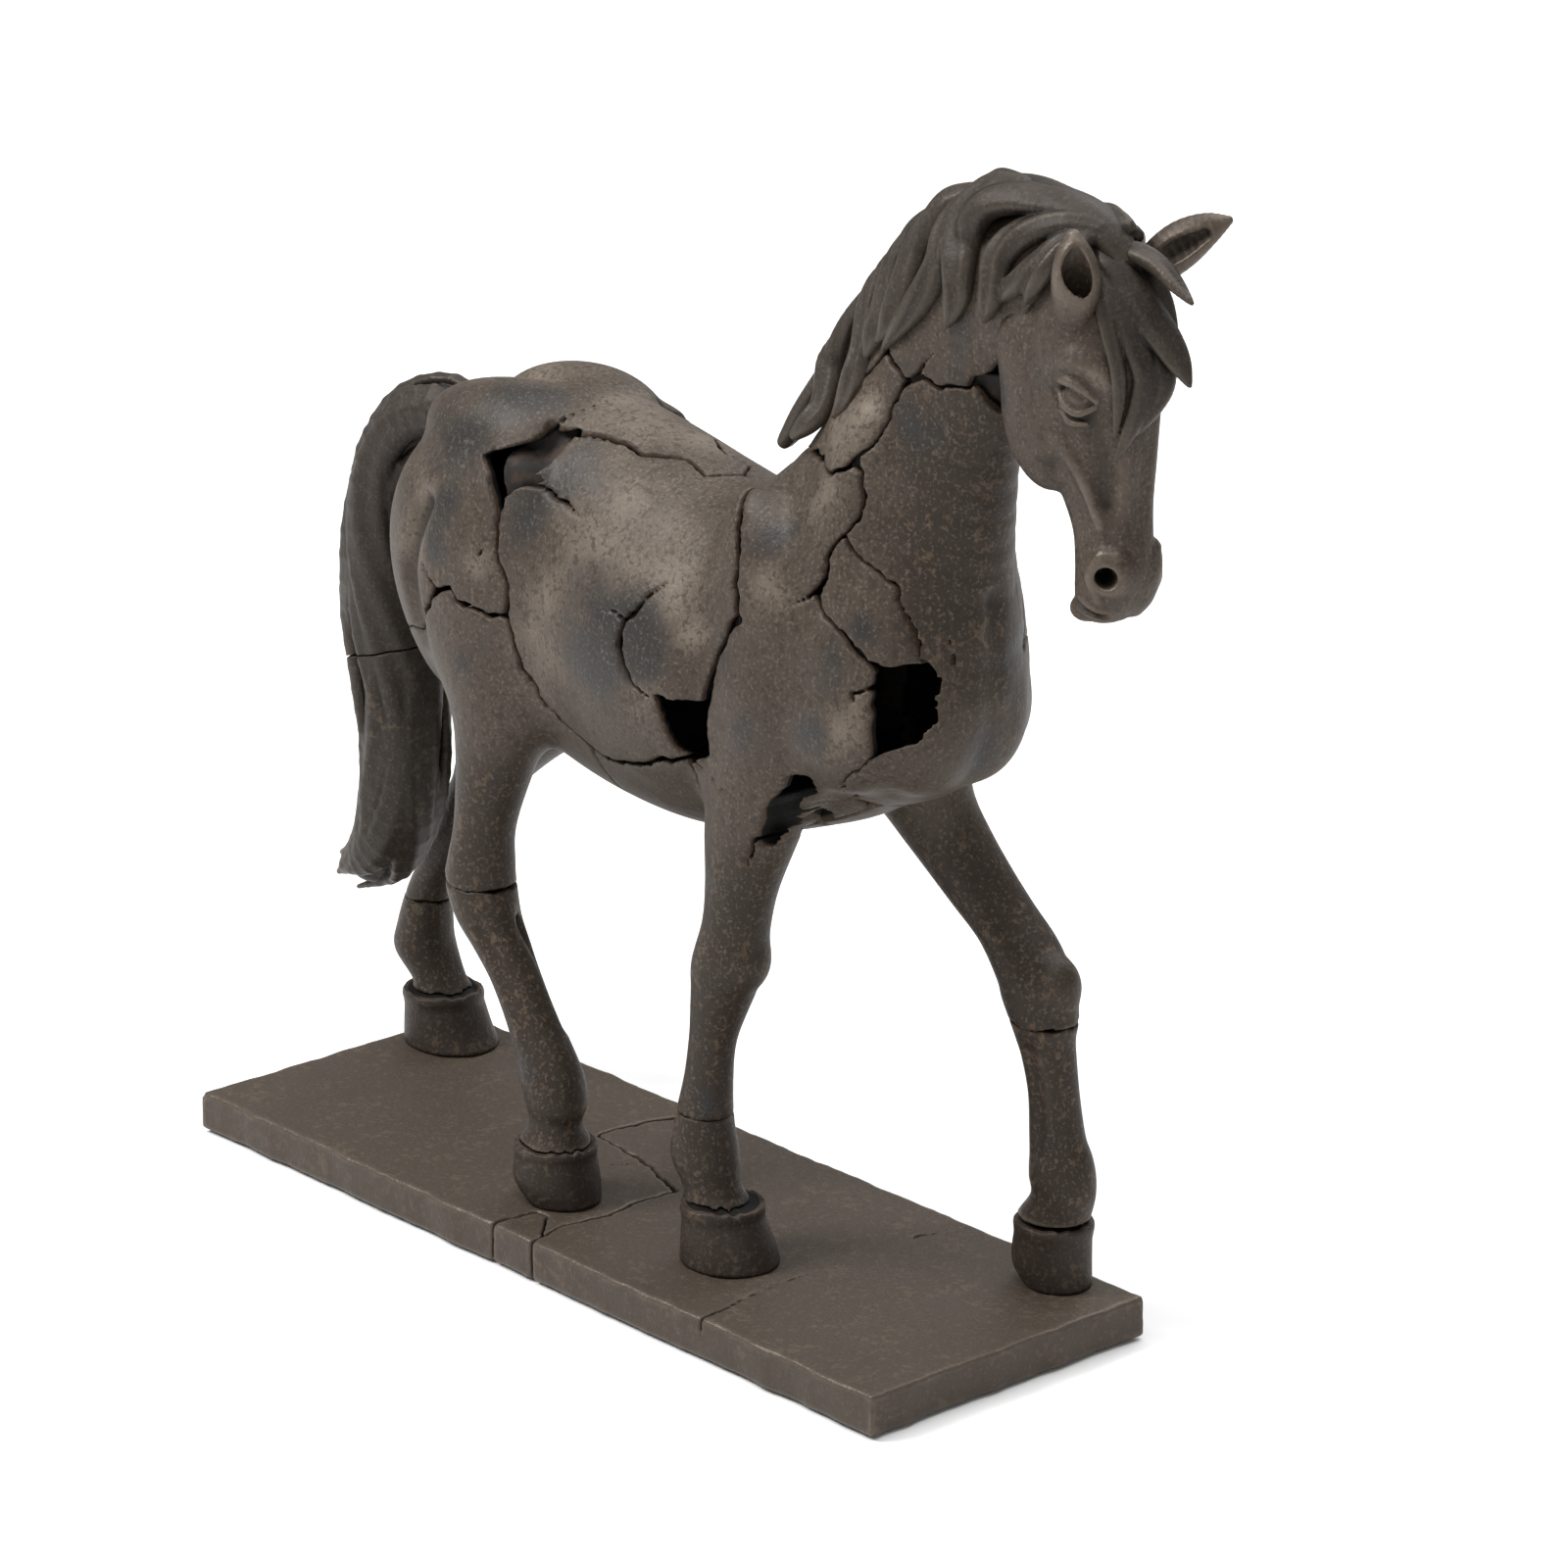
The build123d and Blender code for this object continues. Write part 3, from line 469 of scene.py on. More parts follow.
OUTLINES = {
    "croup": [(-190, 430), (-46, 430), (-45, 357)] + FLANK + THIGH_TOP,
    "thigh": [(-270, 40), (4, 40), (4, 190)] + THIGH_FRONT[::-1] + [FLANK[-1]] + THIGH_TOP,
    "ribs": [(-46, 430), (-45, 357)] + FLANK + THIGH_FRONT + BELLY + GIRTH + [(66, 430)],
    "belly": [(4, 150), THIGH_FRONT[-1]] + BELLY + [(79, 215), (76, 190), (74, 150)],
    "shoulder": GIRTH[::-1][1:] + [(76, 238), (120, 226), (150, 232), (183, 263), (184, 300)]
        + POINT_REAR[::-1] + NECK_FRONT[::-1] + NECK_FOOT[::-1],
    "point": POINT_REAR + [(190, 302), (198, 304)] + POINT_TOP[::-1] + [(161, 356), (153, 346),
                                                                    (153, 338), (150, 328)],
    "breast": [(150, 232), (183, 263), (184, 300), (190, 302), (198, 304)] + POINT_TOP[::-1]
        + NECK_FRONT[:4][::-1] + [NECK_FOOT[-1]] + THROAT + JAW + [(236, 430), (300, 430),
                                                                   (300, 228), (160, 228)],
    "neck_side": [(40, 400)] + NECK_FOOT + THROAT + MANE_FOOT[::-1] + [(40, 440)],
    "crest": [(40, 440)] + MANE_FOOT + [(183, 425)] + JAW + [(247, 459), (251, 469), (258, 478),
                                                          (262, 540), (40, 560)],
    "fore_right": [(40, 40), (40, 170), (76, 190), (79, 215), (76, 238), (120, 226), (150, 232), (150, 40)],
    "fore_left": [(60, 40), (76, 190), (79, 215), (76, 238), (120, 226), (150, 232), (160, 228),
                  (300, 228), (300, 40)],
}
HOLES = {
    "croup": [(-70, 345), (-62, 349), (-51, 353), (-44, 357), (-31, 360), (-34, 347), (-37, 343),
              (-33, 339), (-42, 336), (-50, 330), (-53, 322), (-58, 330), (-60, 340)],
    "belly": [(62, 267), (74, 266), (90, 267), (89, 244), (78, 238), (70, 244), (66, 254)],
    "chest": [(182, 300), (189, 303), (198, 306), (203, 298), (204, 280), (198, 270), (190, 266),
              (182, 262)],
    "leg": [(119, 209), (120, 216), (124, 226), (130, 236), (134, 244), (146, 245), (143, 237),
            (136, 231), (129, 218), (124, 208)],
    "jaw": [(215, 432), (224, 436), (234, 444), (236, 428), (231, 414), (222, 417), (217, 426)],
}


# Over the loins the croup runs forward in a tongue: half its width at places along X.
TONGUE = [(-60, 34), (-45, 32), (-38, 29), (-26, 25), (-13, 22), (-4, 20), (7, 21), (20, 13),
          (27, 10), (40, 13), (51, 0)]


def outline_field(points, x, z):
    """Distance to a closed outline in the side view, negative inside."""
    p = np.array(points, float)
    best, crossings = None, 0
    for a, b in zip(p, np.roll(p, -1, axis=0)):
        ex, ez = b - a
        s = np.clip(((x - a[0]) * ex + (z - a[1]) * ez) / (ex * ex + ez * ez + 1e-9), 0, 1)
        d = (x - a[0] - ex * s) ** 2 + (z - a[1] - ez * s) ** 2
        best = d if best is None else np.minimum(best, d)
        if ez:
            beyond = x < a[0] + ex * (z - a[1]) / ez
            crossings = crossings + ((a[1] > z) != (b[1] > z)) * beyond
    return np.sqrt(best) * np.where(crossings % 2 == 1, -1.0, 1.0)


print(len(OUTLINES), "outlines and", len(HOLES), "holes")

# %% [markdown]
# ## How wide each crack is
# Some seams are open cracks and some are only hairlines. Each crack is a path with its
# width at the start, middle and end; away from every path a seam is nearly closed. Loose
# cracks that end inside a piece are listed too, and are cut as narrow wedges.

# %% Cracks
CRACKS = [
    ([(-45, 357), (-46, 345), (-52, 330)], (1.6, 1.6, 2.0), 0),
    (FLANK, (2.4, 1.8, 2.2), 0), (THIGH_FRONT, (1.8, 1.4, 1.6), 0),
    (THIGH_TOP[:6], (2.2, 1.8, 1.8), 0), (BELLY, (1.4, 1.8, 2.2), 0),
    (GIRTH[1:-1], (3.6, 3.2, 2.4), 0), (NECK_FOOT[1:], (1.6, 2.2, 2.2), 0),
    (NECK_FRONT, (1.2, 1.4, 2.8), 0), (POINT_REAR, (1.6, 2.2, 2.8), 0),
    (POINT_TOP, (1.0, 1.2, 1.2), -1), (THROAT, (1.6, 1.6, 2.0), 0),
    (MANE_FOOT[1:], (0.8, 2.0, 2.2), 0), (JAW, (2.0, 1.4, 2.4), 0),
]
LOOSE_CRACKS = [
    ([(59, 314), (52, 307), (47, 300), (42, 294), (41, 284), (46, 275), (52, 268), (60, 264)],
     (0.6, 3.0, 1.0), -1),
    ([(42, 294), (36, 297), (27, 296)], (1.8, 1.0, 0.4), -1),
    ([(-89, 280), (-95, 284), (-99, 290)], (1.8, 1.2, 0.4), -1),
    ([(-39, 338), (-28, 335), (-20, 333), (-14, 333), (-4, 330)], (1.4, 2.2, 0.4), -1),
    ([(-44, 358), (-40, 364), (-36, 368)], (1.8, 1.2, 0.4), -1),
    ([(-63, 298), (-60, 306), (-56, 309)], (0.4, 1.4, 0.3), -1),
    ([(183, 425), (190, 431), (196, 440)], (2.2, 1.6, 0.4), -1),
    ([(247, 459), (254, 456), (260, 450)], (2.2, 1.4, 0.4), -1),
    ([(254, 458), (262, 464), (268, 470)], (1.4, 1.8, 0.5), -1),
    ([(204, 318), (205, 309), (207, 301)], (0.4, 1.1, 0.4), -1),
    ([(184, 293), (174, 291), (177, 285)], (1.6, 1.4, 0.4), -1),
    ([(150, 330), (143, 325), (138, 322)], (2.4, 1.6, 0.4), -1),
    ([(118, 212), (114, 203), (112, 192)], (2.2, 1.2, 0.3), -1),
]


def noise_lattice(seed):
    """A square of random values that smooth noise is read from."""
    return np.random.default_rng(seed).uniform(-1, 1, (64, 64))


LATTICES = [noise_lattice(seed) for seed in (11, 12, 13)]


def flat_noise(u, v, size, lattice):
    """Smooth noise over a plane, with bumps of about one size."""
    u, v = u / size + 500, v / size + 500
    iu, iv = np.floor(u).astype(int), np.floor(v).astype(int)
    fu, fv = u - iu, v - iv
    fu, fv = fu * fu * (3 - 2 * fu), fv * fv * (3 - 2 * fv)
    pick = lambda a, b: lattice[(iu + a) % 64, (iv + b) % 64]
    return ((pick(0, 0) * (1 - fu) + pick(1, 0) * fu) * (1 - fv)
            + (pick(0, 1) * (1 - fu) + pick(1, 1) * fu) * fv)


def roughened(x, z):
    """Side-view coordinates with the small steps of a break."""
    x, z = x + 0 * z, z + 0 * x
    dx = 1.1 * flat_noise(x, z, 5.5, LATTICES[0]) + 0.5 * flat_noise(x, z, 2.2, LATTICES[1])
    dz = 1.1 * flat_noise(x, z, 5.5, LATTICES[1]) + 0.5 * flat_noise(x, z, 2.2, LATTICES[2])
    return x + dx, z + dz


def path_field(path, widths, x, z):
    """Distance to a path in the side view, and the crack's width beside each point."""
    p = np.array(path, float)
    lengths = np.concatenate([[0], np.cumsum(np.hypot(*np.diff(p, axis=0).T))])
    best = np.full(x.shape, 1e9)
    width = np.zeros(x.shape)
    for i, (a, b) in enumerate(zip(p[:-1], p[1:])):
        ex, ez = b - a
        s = np.clip(((x - a[0]) * ex + (z - a[1]) * ez) / (ex * ex + ez * ez + 1e-9), 0, 1)
        d = (x - a[0] - ex * s) ** 2 + (z - a[1] - ez * s) ** 2
        along = (lengths[i] + s * (lengths[i + 1] - lengths[i])) / lengths[-1]
        near = d < best
        best = np.where(near, d, best)
        width = np.where(near, np.interp(along, (0, 0.5, 1), widths), width)
    return np.sqrt(best), width


def seam_gap(x, z):
    """Full width of the gap between neighbours at a point of the side view."""
    gap = np.full(x.shape, 0.15)
    for path, widths, _ in CRACKS:
        d, width = path_field(path, widths, x, z)
        gap = np.maximum(gap, width * np.clip(1.6 - d / 5.0, 0, 1))
    return gap * (1 + 0.35 * flat_noise(x, z, 7.0, LATTICES[2]))


print(len(CRACKS) + len(LOOSE_CRACKS), "cracks")

# %% [markdown]
# ## From clay to mesh
# The field of a piece is the skin, hollowed to an even wall, kept only inside its own
# patch. OpenVDB turns the zero level of the field into quads. A few more numbers are kept on
# every vertex for the patina and the painted light: how deep it lies in a fold (`hollow`, found
# by comparing the skin with a blurred skin), whether it is inside the wall (`inner`), and where
# each tone lies: slate-grey, dry-brushed tan that is partly a painted highlight, or dark umber
# that is partly painted shade.

# %% Patches of patina, partly painted highlight and painted shade: x, y, z, radius
SLATE = [
    (-92, -40, 352, 30), (-66, -26, 368, 24), (-38, -52, 322, 20), (-18, -40, 352, 22),
    (20, -60, 300, 26), (52, -62, 286, 26), (32, -62, 272, 24), (-86, -64, 302, 12),
    (-84, -66, 322, 13), (-84, -62, 342, 12), (-62, -64, 258, 15), (-56, -60, 238, 12),
    (118, -48, 352, 17), (104, -50, 370, 14), (105, -60, 292, 15), (112, -60, 262, 16),
    (150, -55, 275, 17), (160, -50, 300, 13), (190, -25, 404, 19), (183, -30, 428, 15),
    (205, -22, 440, 15), (178, -42, 318, 9), (205, -5, 262, 16), (212, 16, 300, 16),
    (-50, 45, 340, 30), (20, 60, 290, 38), (110, 50, 300, 30), (-95, 60, 300, 28),
    (240, -22, 425, 14), (92, -54, 190, 12), (-78, -62, 205, 14), (150, 52, 185, 12),
    (75, -45, 72, 12), (-30, -60, 66, 14), (200, 52, 70, 12), (264, -24, 445, 12),
]
# Dry-brushed tan, partly a painted highlight: many patches lie on the tops and on the right side, where the
# key light falls.
DRY_BRUSH_AND_HIGHLIGHT = [
    (12, -60, 330, 26), (42, -60, 338, 24), (66, -62, 322, 20), (-10, -62, 300, 16),
    (-16, -58, 268, 18), (-102, -58, 318, 13), (-104, -58, 296, 12), (-62, -62, 300, 9),
    (88, -60, 336, 12), (86, -62, 300, 10), (-30, 4, 368, 26), (10, 0, 362, 30),
    (-100, 0, 372, 26), (140, -44, 372, 16), (158, -34, 410, 14), (150, -30, 400, 16),
    (132, -55, 325, 15), (172, -46, 278, 13), (286, -20, 452, 8), (60, -56, 256, 16),
    (20, 58, 335, 26), (-100, 58, 330, 20), (140, 44, 380, 20), (206, -10, 470, 18),
]
# Umber on the front of the neck, partly painted shade on the side turned away from the key light.
UMBER_AND_SHADE = [
    (200, -22, 400, 34), (206, -20, 368, 32), (204, -24, 336, 26), (212, 10, 380, 40),
    (216, 0, 340, 40), (216, 0, 300, 36), (222, -14, 425, 20),
]
# Below LEG_TOP the umber grows over LEG_FADE, so the legs get darker towards the bottom: partly umber
# patina, partly painted shade.
LEG_TOP, LEG_FADE = 228.0, 46.0


def spots(place, patches):
    """How strongly each point lies in a list of round patches, from 0 to about 1."""
    x, y, z = place.T
    drift = np.stack([flat_noise(x + 0.6 * y, z, 21.0, LATTICES[0]),
                      flat_noise(x, z + 0.5 * y, 17.0, LATTICES[1]),
                      flat_noise(x - 0.5 * y, z, 19.0, LATTICES[2])], axis=1)
    moved = place + 9.0 * drift
    missing = np.ones(len(place))
    for *centre, radius in patches:
        distance = ((moved - centre) ** 2).sum(1) / radius ** 2
        missing *= 1 - 0.85 * np.exp(-1.1 * distance)
    return 1 - missing


def blurred(field, reach):
    """Box blur of a grid along its three axes."""
    out = field
    for axis in range(3):
        padded = np.pad(out, [(reach + 1, reach) if a == axis else (0, 0) for a in range(3)],
                        mode="edge")
        total = np.cumsum(padded, axis=axis, dtype=np.float64)
        high = np.take(total, np.arange(2 * reach + 1, total.shape[axis]), axis=axis)
        low = np.take(total, np.arange(0, total.shape[axis] - 2 * reach - 1), axis=axis)
        out = ((high - low) / (2 * reach + 1)).astype(np.float32)
    return out


def mesh_from(name, clay, skin=None):
    """A mesh object of the clay's surface, in metres, with its numbers for the patina, the painted shade
    and the painted highlight.
    """
    grid = vdb.FloatGrid(4.0)
    grid.copyFromArray(np.ascontiguousarray(np.clip(clay.field, -4, 4), dtype=np.float32))
    points, quads = grid.convertToQuads()
    place = points * clay.spacing + clay.low
    mesh = bpy.data.meshes.new(name)
    mesh.vertices.add(len(points))
    in_metres = (place + (0, MIDLINE, SLAB_TOP)) * MM
    mesh.vertices.foreach_set("co", in_metres.astype(np.float32).ravel())
    mesh.loops.add(quads.size)
    mesh.loops.foreach_set("vertex_index", quads.astype(np.int32).ravel())
    mesh.polygons.add(len(quads))
    mesh.polygons.foreach_set("loop_start", np.arange(0, quads.size, 4, dtype=np.int32))
    mesh.polygons.foreach_set("use_smooth", np.ones(len(quads), bool))
    mesh.update(calc_edges=True)
    mesh.validate()

    skin = clay.field if skin is None else skin
    floor_index = np.clip(np.floor(points).astype(int), 0, np.array(skin.shape) - 2)
    part = points - floor_index

    def read(values):
        """The grid's value at every vertex, from the eight cells round it."""
        total = 0.0
        for corner in np.ndindex(2, 2, 2):
            share = np.prod(np.where(corner, part, 1 - part), axis=1)
            total = total + share * values[tuple((floor_index + corner).T)]
        return total

    depth = read(np.clip(skin, -12, 12))
    fold = np.zeros(len(points))
    for reach_mm, share in ((2.2, 0.9), (5.0, 0.6)):
        reach = max(1, round(reach_mm / clay.spacing))
        soft = blurred(np.clip(skin, -12, 12), reach)
        fold += share * (depth - read(soft)) / reach_mm
    inner = np.clip(-(depth + 1.2) / 1.5, 0, 1)
    # Umber patches on the neck front, and legs darker towards the bottom: partly umber patina, partly
    # painted shade.
    umber_and_shade = np.maximum(spots(place, UMBER_AND_SHADE), np.clip((LEG_TOP - place[:, 2]) / LEG_FADE, 0, 1))
    for key, values in (("hollow", fold), ("inner", inner), ("slate", spots(place, SLATE)),
                        ("brush_and_highlight", spots(place, DRY_BRUSH_AND_HIGHLIGHT)), ("umber_and_shade", umber_and_shade)):
        layer = mesh.attributes.new(key, "FLOAT", "POINT")
        layer.data.foreach_set("value", values.astype(np.float32))
    piece = bpy.data.objects.new(name, mesh)
    bpy.context.scene.collection.objects.link(piece)
    return piece


pieces, piece_slots = {}, {}


def finish_piece(name, piece, slot, nodes):
    """Give a piece to the frame: its body, its finish and the CAD nodes it stands for."""
    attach(piece, "root")
    piece_slots[name] = slot
    if nodes:
        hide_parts(*nodes)
    pieces[name] = piece
    print(f"{name}: {len(piece.data.polygons)} faces")

# %% [markdown]
# ## The shell pieces
# Every shell piece is cut from the same skin. The wall is 5 mm thick, and the hollow stops
# above the legs and behind the head, which are solid. The right side also has the holes
# where chips are lost; there the wall's edge shows.

# %% Cut one shell piece
WALL = 5.0
HOLLOW_FLOOR = 232.0
HOLLOW_FRONT = 243.0
SHELL_SPACING = 1.25


def knead(clay):
    """Press the whole body into a block of clay."""
    for form, k in body_forms:
        clay.add(form, k)
    for form, k in body_cuts:
        clay.carve(form, k)


def shell_piece(name, low, high, keep, slot, nodes, holes=(), legs=False):
    """One piece of the shell: keep says where it lies, as a field."""
    clay = Clay(low, high, SHELL_SPACING)
    knead(clay)
    skin = clay.field.copy()
    x, y, z = clay.points()
    if not legs or high[2] > HOLLOW_FLOOR:
        cavity = np.maximum(skin + WALL, np.maximum(HOLLOW_FLOOR - z, x - HOLLOW_FRONT))
        clay.field = np.maximum(clay.field, -cavity)
    rx, rz = roughened(x[:, 0, :], z[:, 0, :])
    gap = seam_gap(rx, rz)[:, None, :]
    region = keep(rx, y, rz)
    clay.field = soft_max(clay.field, region + gap / 2, 0.8)
    for hole in holes:
        edge = outline_field(HOLES[hole], rx, rz)[:, None, :]
        clay.field = soft_max(clay.field, -np.maximum(edge, y + 6.0), 0.8)
    for path, widths, side in LOOSE_CRACKS:
        d, width = path_field(path, widths, rx, rz)
        wedge = (d - width / 2)[:, None, :]
        clay.field = soft_max(clay.field, -np.maximum(wedge, -side * y), 0.6)
    clay.field = clay.field.astype(np.float32)
    piece = mesh_from(name, clay, skin)
    finish_piece(name, piece, slot, nodes)


def patch(*names):
    """A keep function: inside any of the outlines, on every side."""
    def keep(x, y, z):
        return np.minimum.reduce([outline_field(OUTLINES[n], x, z) for n in names])[:, None, :]
    return keep


def on_side(keep, side, seam=0.0):
    """The same, only on the right (-1) or left (1) of the midline."""
    return lambda x, y, z: np.maximum(keep(x, y, z), -side * y + seam)


STERNUM = 15.0


def without_sternum(keep):
    """The same, without the strip under the chest, which belongs to the breast."""
    def kept(x, y, z):
        strip = np.maximum(np.abs(y) - STERNUM, (z - 245)[:, None, :])
        return np.maximum(keep(x, y, z), -strip)
    return kept


def breast_keep(x, y, z):
    """The breast, with the strip between the front legs."""
    front = outline_field(OUTLINES["breast"], x, z)[:, None, :]
    strip = np.maximum(np.maximum(np.abs(y) - STERNUM, (z - 245)[:, None, :]),
                       (np.maximum(76 - x, x - 160))[:, None, :])
    return np.minimum(front, strip)


def tongue(x, y, z):
    """The croup's tongue along the back, and the width of the crack round it."""
    places, halves = np.array(TONGUE, float).T
    ends = np.maximum(335 - z, np.maximum(x - 52, -60 - x))[:, None, :]
    crack = np.interp(x, (-45, 0, 50), (2.0, 2.2, 1.2))[:, None, :]
    return np.maximum(np.abs(y) - np.interp(x, places, halves)[:, None, :], ends), crack


def croup_keep(x, y, z):
    """The croup, with its tongue."""
    strip, crack = tongue(x, y, z)
    return np.minimum(patch("croup")(x, y, z), strip + crack / 2)


def ribs_keep(x, y, z):
    """The ribs, without the tongue."""
    strip, crack = tongue(x, y, z)
    return np.maximum(patch("ribs")(x, y, z), crack / 2 - strip)


def above(height, keep):
    """The same, only above a break in the leg."""
    return lambda x, y, z: np.maximum(keep(x, y, z), (height - z)[:, None, :])


BREAKS = {"front_right": (27, 67), "hind_right": (27, 140), "front_left": (30, 122),
          "hind_left": (27, 72)}
shell_piece("croup", (-165, -72, 222), (62, 72, 385), croup_keep, "horse_bronze",
            ["croup_shell"], holes=["croup"])
shell_piece("thigh_right", (-160, -78, 136), (10, 2, 296),
            above(BREAKS["hind_right"][1], on_side(patch("thigh"), -1)), "horse_bronze",
            ["thigh_shell_right", "upper_leg_hind_right"], legs=True)
shell_piece("thigh_left", (-256, -2, 68), (10, 78, 296),
            above(BREAKS["hind_left"][1], on_side(patch("thigh"), 1)), "horse_bronze",
            ["thigh_shell_left", "upper_leg_hind_left"], legs=True)
shell_piece("ribs_right", (-60, -76, 215), (118, 2, 372), on_side(ribs_keep, -1),
            "horse_bronze", ["barrel_shell_right"], holes=["croup", "belly"])
shell_piece("ribs_left", (-60, -2, 215), (118, 76, 372), on_side(ribs_keep, 1),
            "horse_bronze", ["barrel_shell_left"])
shell_piece("belly", (-2, -64, 180), (92, 64, 245), patch("belly"), "horse_bronze",
            ["belly_shell"], holes=["belly"])
shell_piece("shoulder_right", (48, -76, 62), (192, 2, 395),
            above(BREAKS["front_right"][1],
                  without_sternum(on_side(patch("shoulder", "fore_right"), -1))),
            "horse_bronze", ["shoulder_shell_right", "upper_leg_front_right"],
            holes=["belly", "chest", "leg"], legs=True)
shell_piece("shoulder_left", (52, -2, 118), (222, 80, 395),
            above(BREAKS["front_left"][1],
                  without_sternum(on_side(patch("shoulder", "fore_left"), 1))),
            "horse_bronze", ["shoulder_shell_left", "upper_leg_front_left"], legs=True)
shell_piece("shoulder_point_right", (146, -64, 292), (208, 2, 360), on_side(patch("point"), -1),
            "horse_bronze", [], holes=["chest"])
shell_piece("shoulder_point_left", (146, -2, 292), (208, 64, 360), on_side(patch("point"), 1),
            "horse_bronze", [])
shell_piece("breast", (72, -60, 200), (245, 60, 450), breast_keep, "horse_bronze",
            ["breast_shell", "sternum_shell", "throat_shell"], holes=["chest", "jaw"])
shell_piece("neck_side", (60, -56, 374), (190, 56, 440), patch("neck_side"), "horse_bronze",
            ["withers_shell"])
shell_piece("neck_crest", (90, -50, 405), (268, 50, 515), patch("crest"), "horse_bronze",
            ["neck_crest_shell"], holes=["jaw"])

# %% [markdown]
# ## Bands inside
# The shell pieces are held together by flat steel bands, bent to lie against the inside of
# the wall. A band is a slice of the space just under the wall, so that it follows every
# swelling of the body and never shows through the skin.

# %% Bands
BAND_OUTER, BAND_INNER = 5.4, 8.4      # depth of a band's two faces under the skin
BAND_HALF_WIDTH = 9
BAND_SPACING = 1.2
BANDS = {"flank_band": (-46, 222), "belly_band": (40, 222), "girth_band": (96, 232),
         "chest_band": (166, 240)}
NECK_BAND_HEIGHT, NECK_BAND_FRONT = 424, 236


def band_piece(name, low, high, ends):
    """One band: a layer under the skin, kept where the field of its ends says."""
    clay = Clay(low, high, BAND_SPACING)
    knead(clay)
    layer = soft_max(clay.field + BAND_OUTER, -(clay.field + BAND_INNER), 0.3)
    clay.field = soft_max(layer, ends(*clay.points()), 0.5)
    finish_piece(f"{name}_skin", mesh_from(f"{name}_skin", clay), "inner_steel", [name])


for name, (middle, foot) in BANDS.items():
    band_piece(name, (middle - 11, -74, foot), (middle + 11, 74, 395),
               lambda x, y, z: np.maximum(np.abs(x - middle) - BAND_HALF_WIDTH, foot + 3 - z))
band_piece("neck_band", (110, -50, 412), (250, 50, 438),
           lambda x, y, z: np.maximum(np.abs(z - NECK_BAND_HEIGHT) - BAND_HALF_WIDTH,
                                      x - NECK_BAND_FRONT))

# %% [markdown]
# ## Cannons and hooves
# Each leg is broken at the coronet and again higher up, so the hoof and the stretch above it
# are pieces of their own. The hoof is a flaring wall under the soft ring of the coronet, and
# the cannon has a long groove between bone and tendon.

# %% Lower legs
HOOVES = {
    "front_right": [(0, 86, -40, 24, 22), (10, 84, -40, 22, 20.5), (22, 81, -40, 19, 18)],
    "hind_right": [(0, -19, -50, 18, 17), (10, -24, -50, 21, 19.5), (24, -25, -50, 19, 18)],
    "front_left": [(0, 203, 52, 16, 15), (10, 199, 52, 19, 17), (28, 200, 52, 18, 16.5)],
    "hind_left": [(0, -213, 39, 26, 22), (10, -216, 39, 23, 20.5), (24, -219, 39, 20, 18.5)],
}
GROOVES = {
    "front_right": [[(62, -52, 112, 1.5, 1), (60, -52, 96, 2.5, 1), (58, -53, 76, 1.5, 1)]],
    "hind_right": [[(-62, -64, 126, 1.5, 1), (-46, -64, 104, 2.6, 1), (-30, -64, 78, 1.5, 1)],
                   [(-62, -46, 128, 1.5, 1), (-44, -40, 104, 2.0, 1), (-30, -40, 80, 1.5, 1)]],
    "front_left": [[(195, 38, 110, 2.4, 1), (198, 38, 95, 3.8, 1), (200, 38, 78, 4.0, 1),
                    (201, 38, 65, 3.0, 1)]],
    "hind_left": [[(-206, 26, 112, 1.5, 1), (-216, 26, 92, 2.6, 1), (-226, 26, 70, 1.5, 1)]],
}
LEG_SPACING = 0.9
for leg, (ankle, knee) in BREAKS.items():
    rows = LEGS[leg]
    foot = HOOVES[leg]
    ring = rows[0]
    x0, y0 = ring[1], ring[2]
    reach = np.array([[r[1] - r[3] for r in rows if r[0] < knee + 20],
                      [r[1] + r[3] for r in rows if r[0] < knee + 20]])
    low = (reach[0].min() - 8, y0 - 27, ankle - 4)
    high = (reach[1].max() + 8, y0 + 27, knee + 4)
    clay = Clay(low, high, LEG_SPACING)
    knead(clay)
    for path in GROOVES[leg]:
        clay.carve(cord_form(path), 5)
    skin = clay.field.copy()
    x, y, z = clay.points()
    wave = 0.9 * flat_noise(x + 3 * y, z, 9.0, LATTICES[0])
    clay.field = soft_max(clay.field, np.maximum(ankle + 0.25 + wave - z, z - knee + 0.3 + wave), 0.6)
    clay.field = clay.field.astype(np.float32)
    finish_piece(f"cannon_{leg}_skin", mesh_from(f"cannon_{leg}_skin", clay, skin),
                 "horse_bronze", [f"cannon_{leg}"])

    clay = Clay((x0 - 40, y0 - 30, 0), (x0 + 40, y0 + 30, ankle + 3), LEG_SPACING)
    clay.add(limb(foot), 2)
    clay.add(limb([row for row in rows if row[0] < ankle + 20]), 4)
    ring_rows = [(ankle + step, *foot[-1][1:3], foot[-1][3] + more, foot[-1][4] + more)
                 for step, more in ((-7, -0.5), (-2.5, 0.8), (3, 0.2))]
    clay.add(limb(ring_rows), 2.0)                                       # coronet
    skin = clay.field.copy()
    x, y, z = clay.points()
    wave = 0.9 * flat_noise(x + 3 * y, z, 9.0, LATTICES[0])
    clay.field = soft_max(clay.field, np.maximum(-z, z - ankle + 0.25 - wave), 0.6)
    clay.field = clay.field.astype(np.float32)
    finish_piece(f"hoof_{leg}_skin", mesh_from(f"hoof_{leg}_skin", clay, skin),
                 "hoof_bronze", [f"hoof_{leg}"])

# %% [markdown]
# ## Head and ears
# The head is cut at a seam behind the jaw. The eye and its lids are added last, after the
# socket has been cut, and keep their crisp edges.

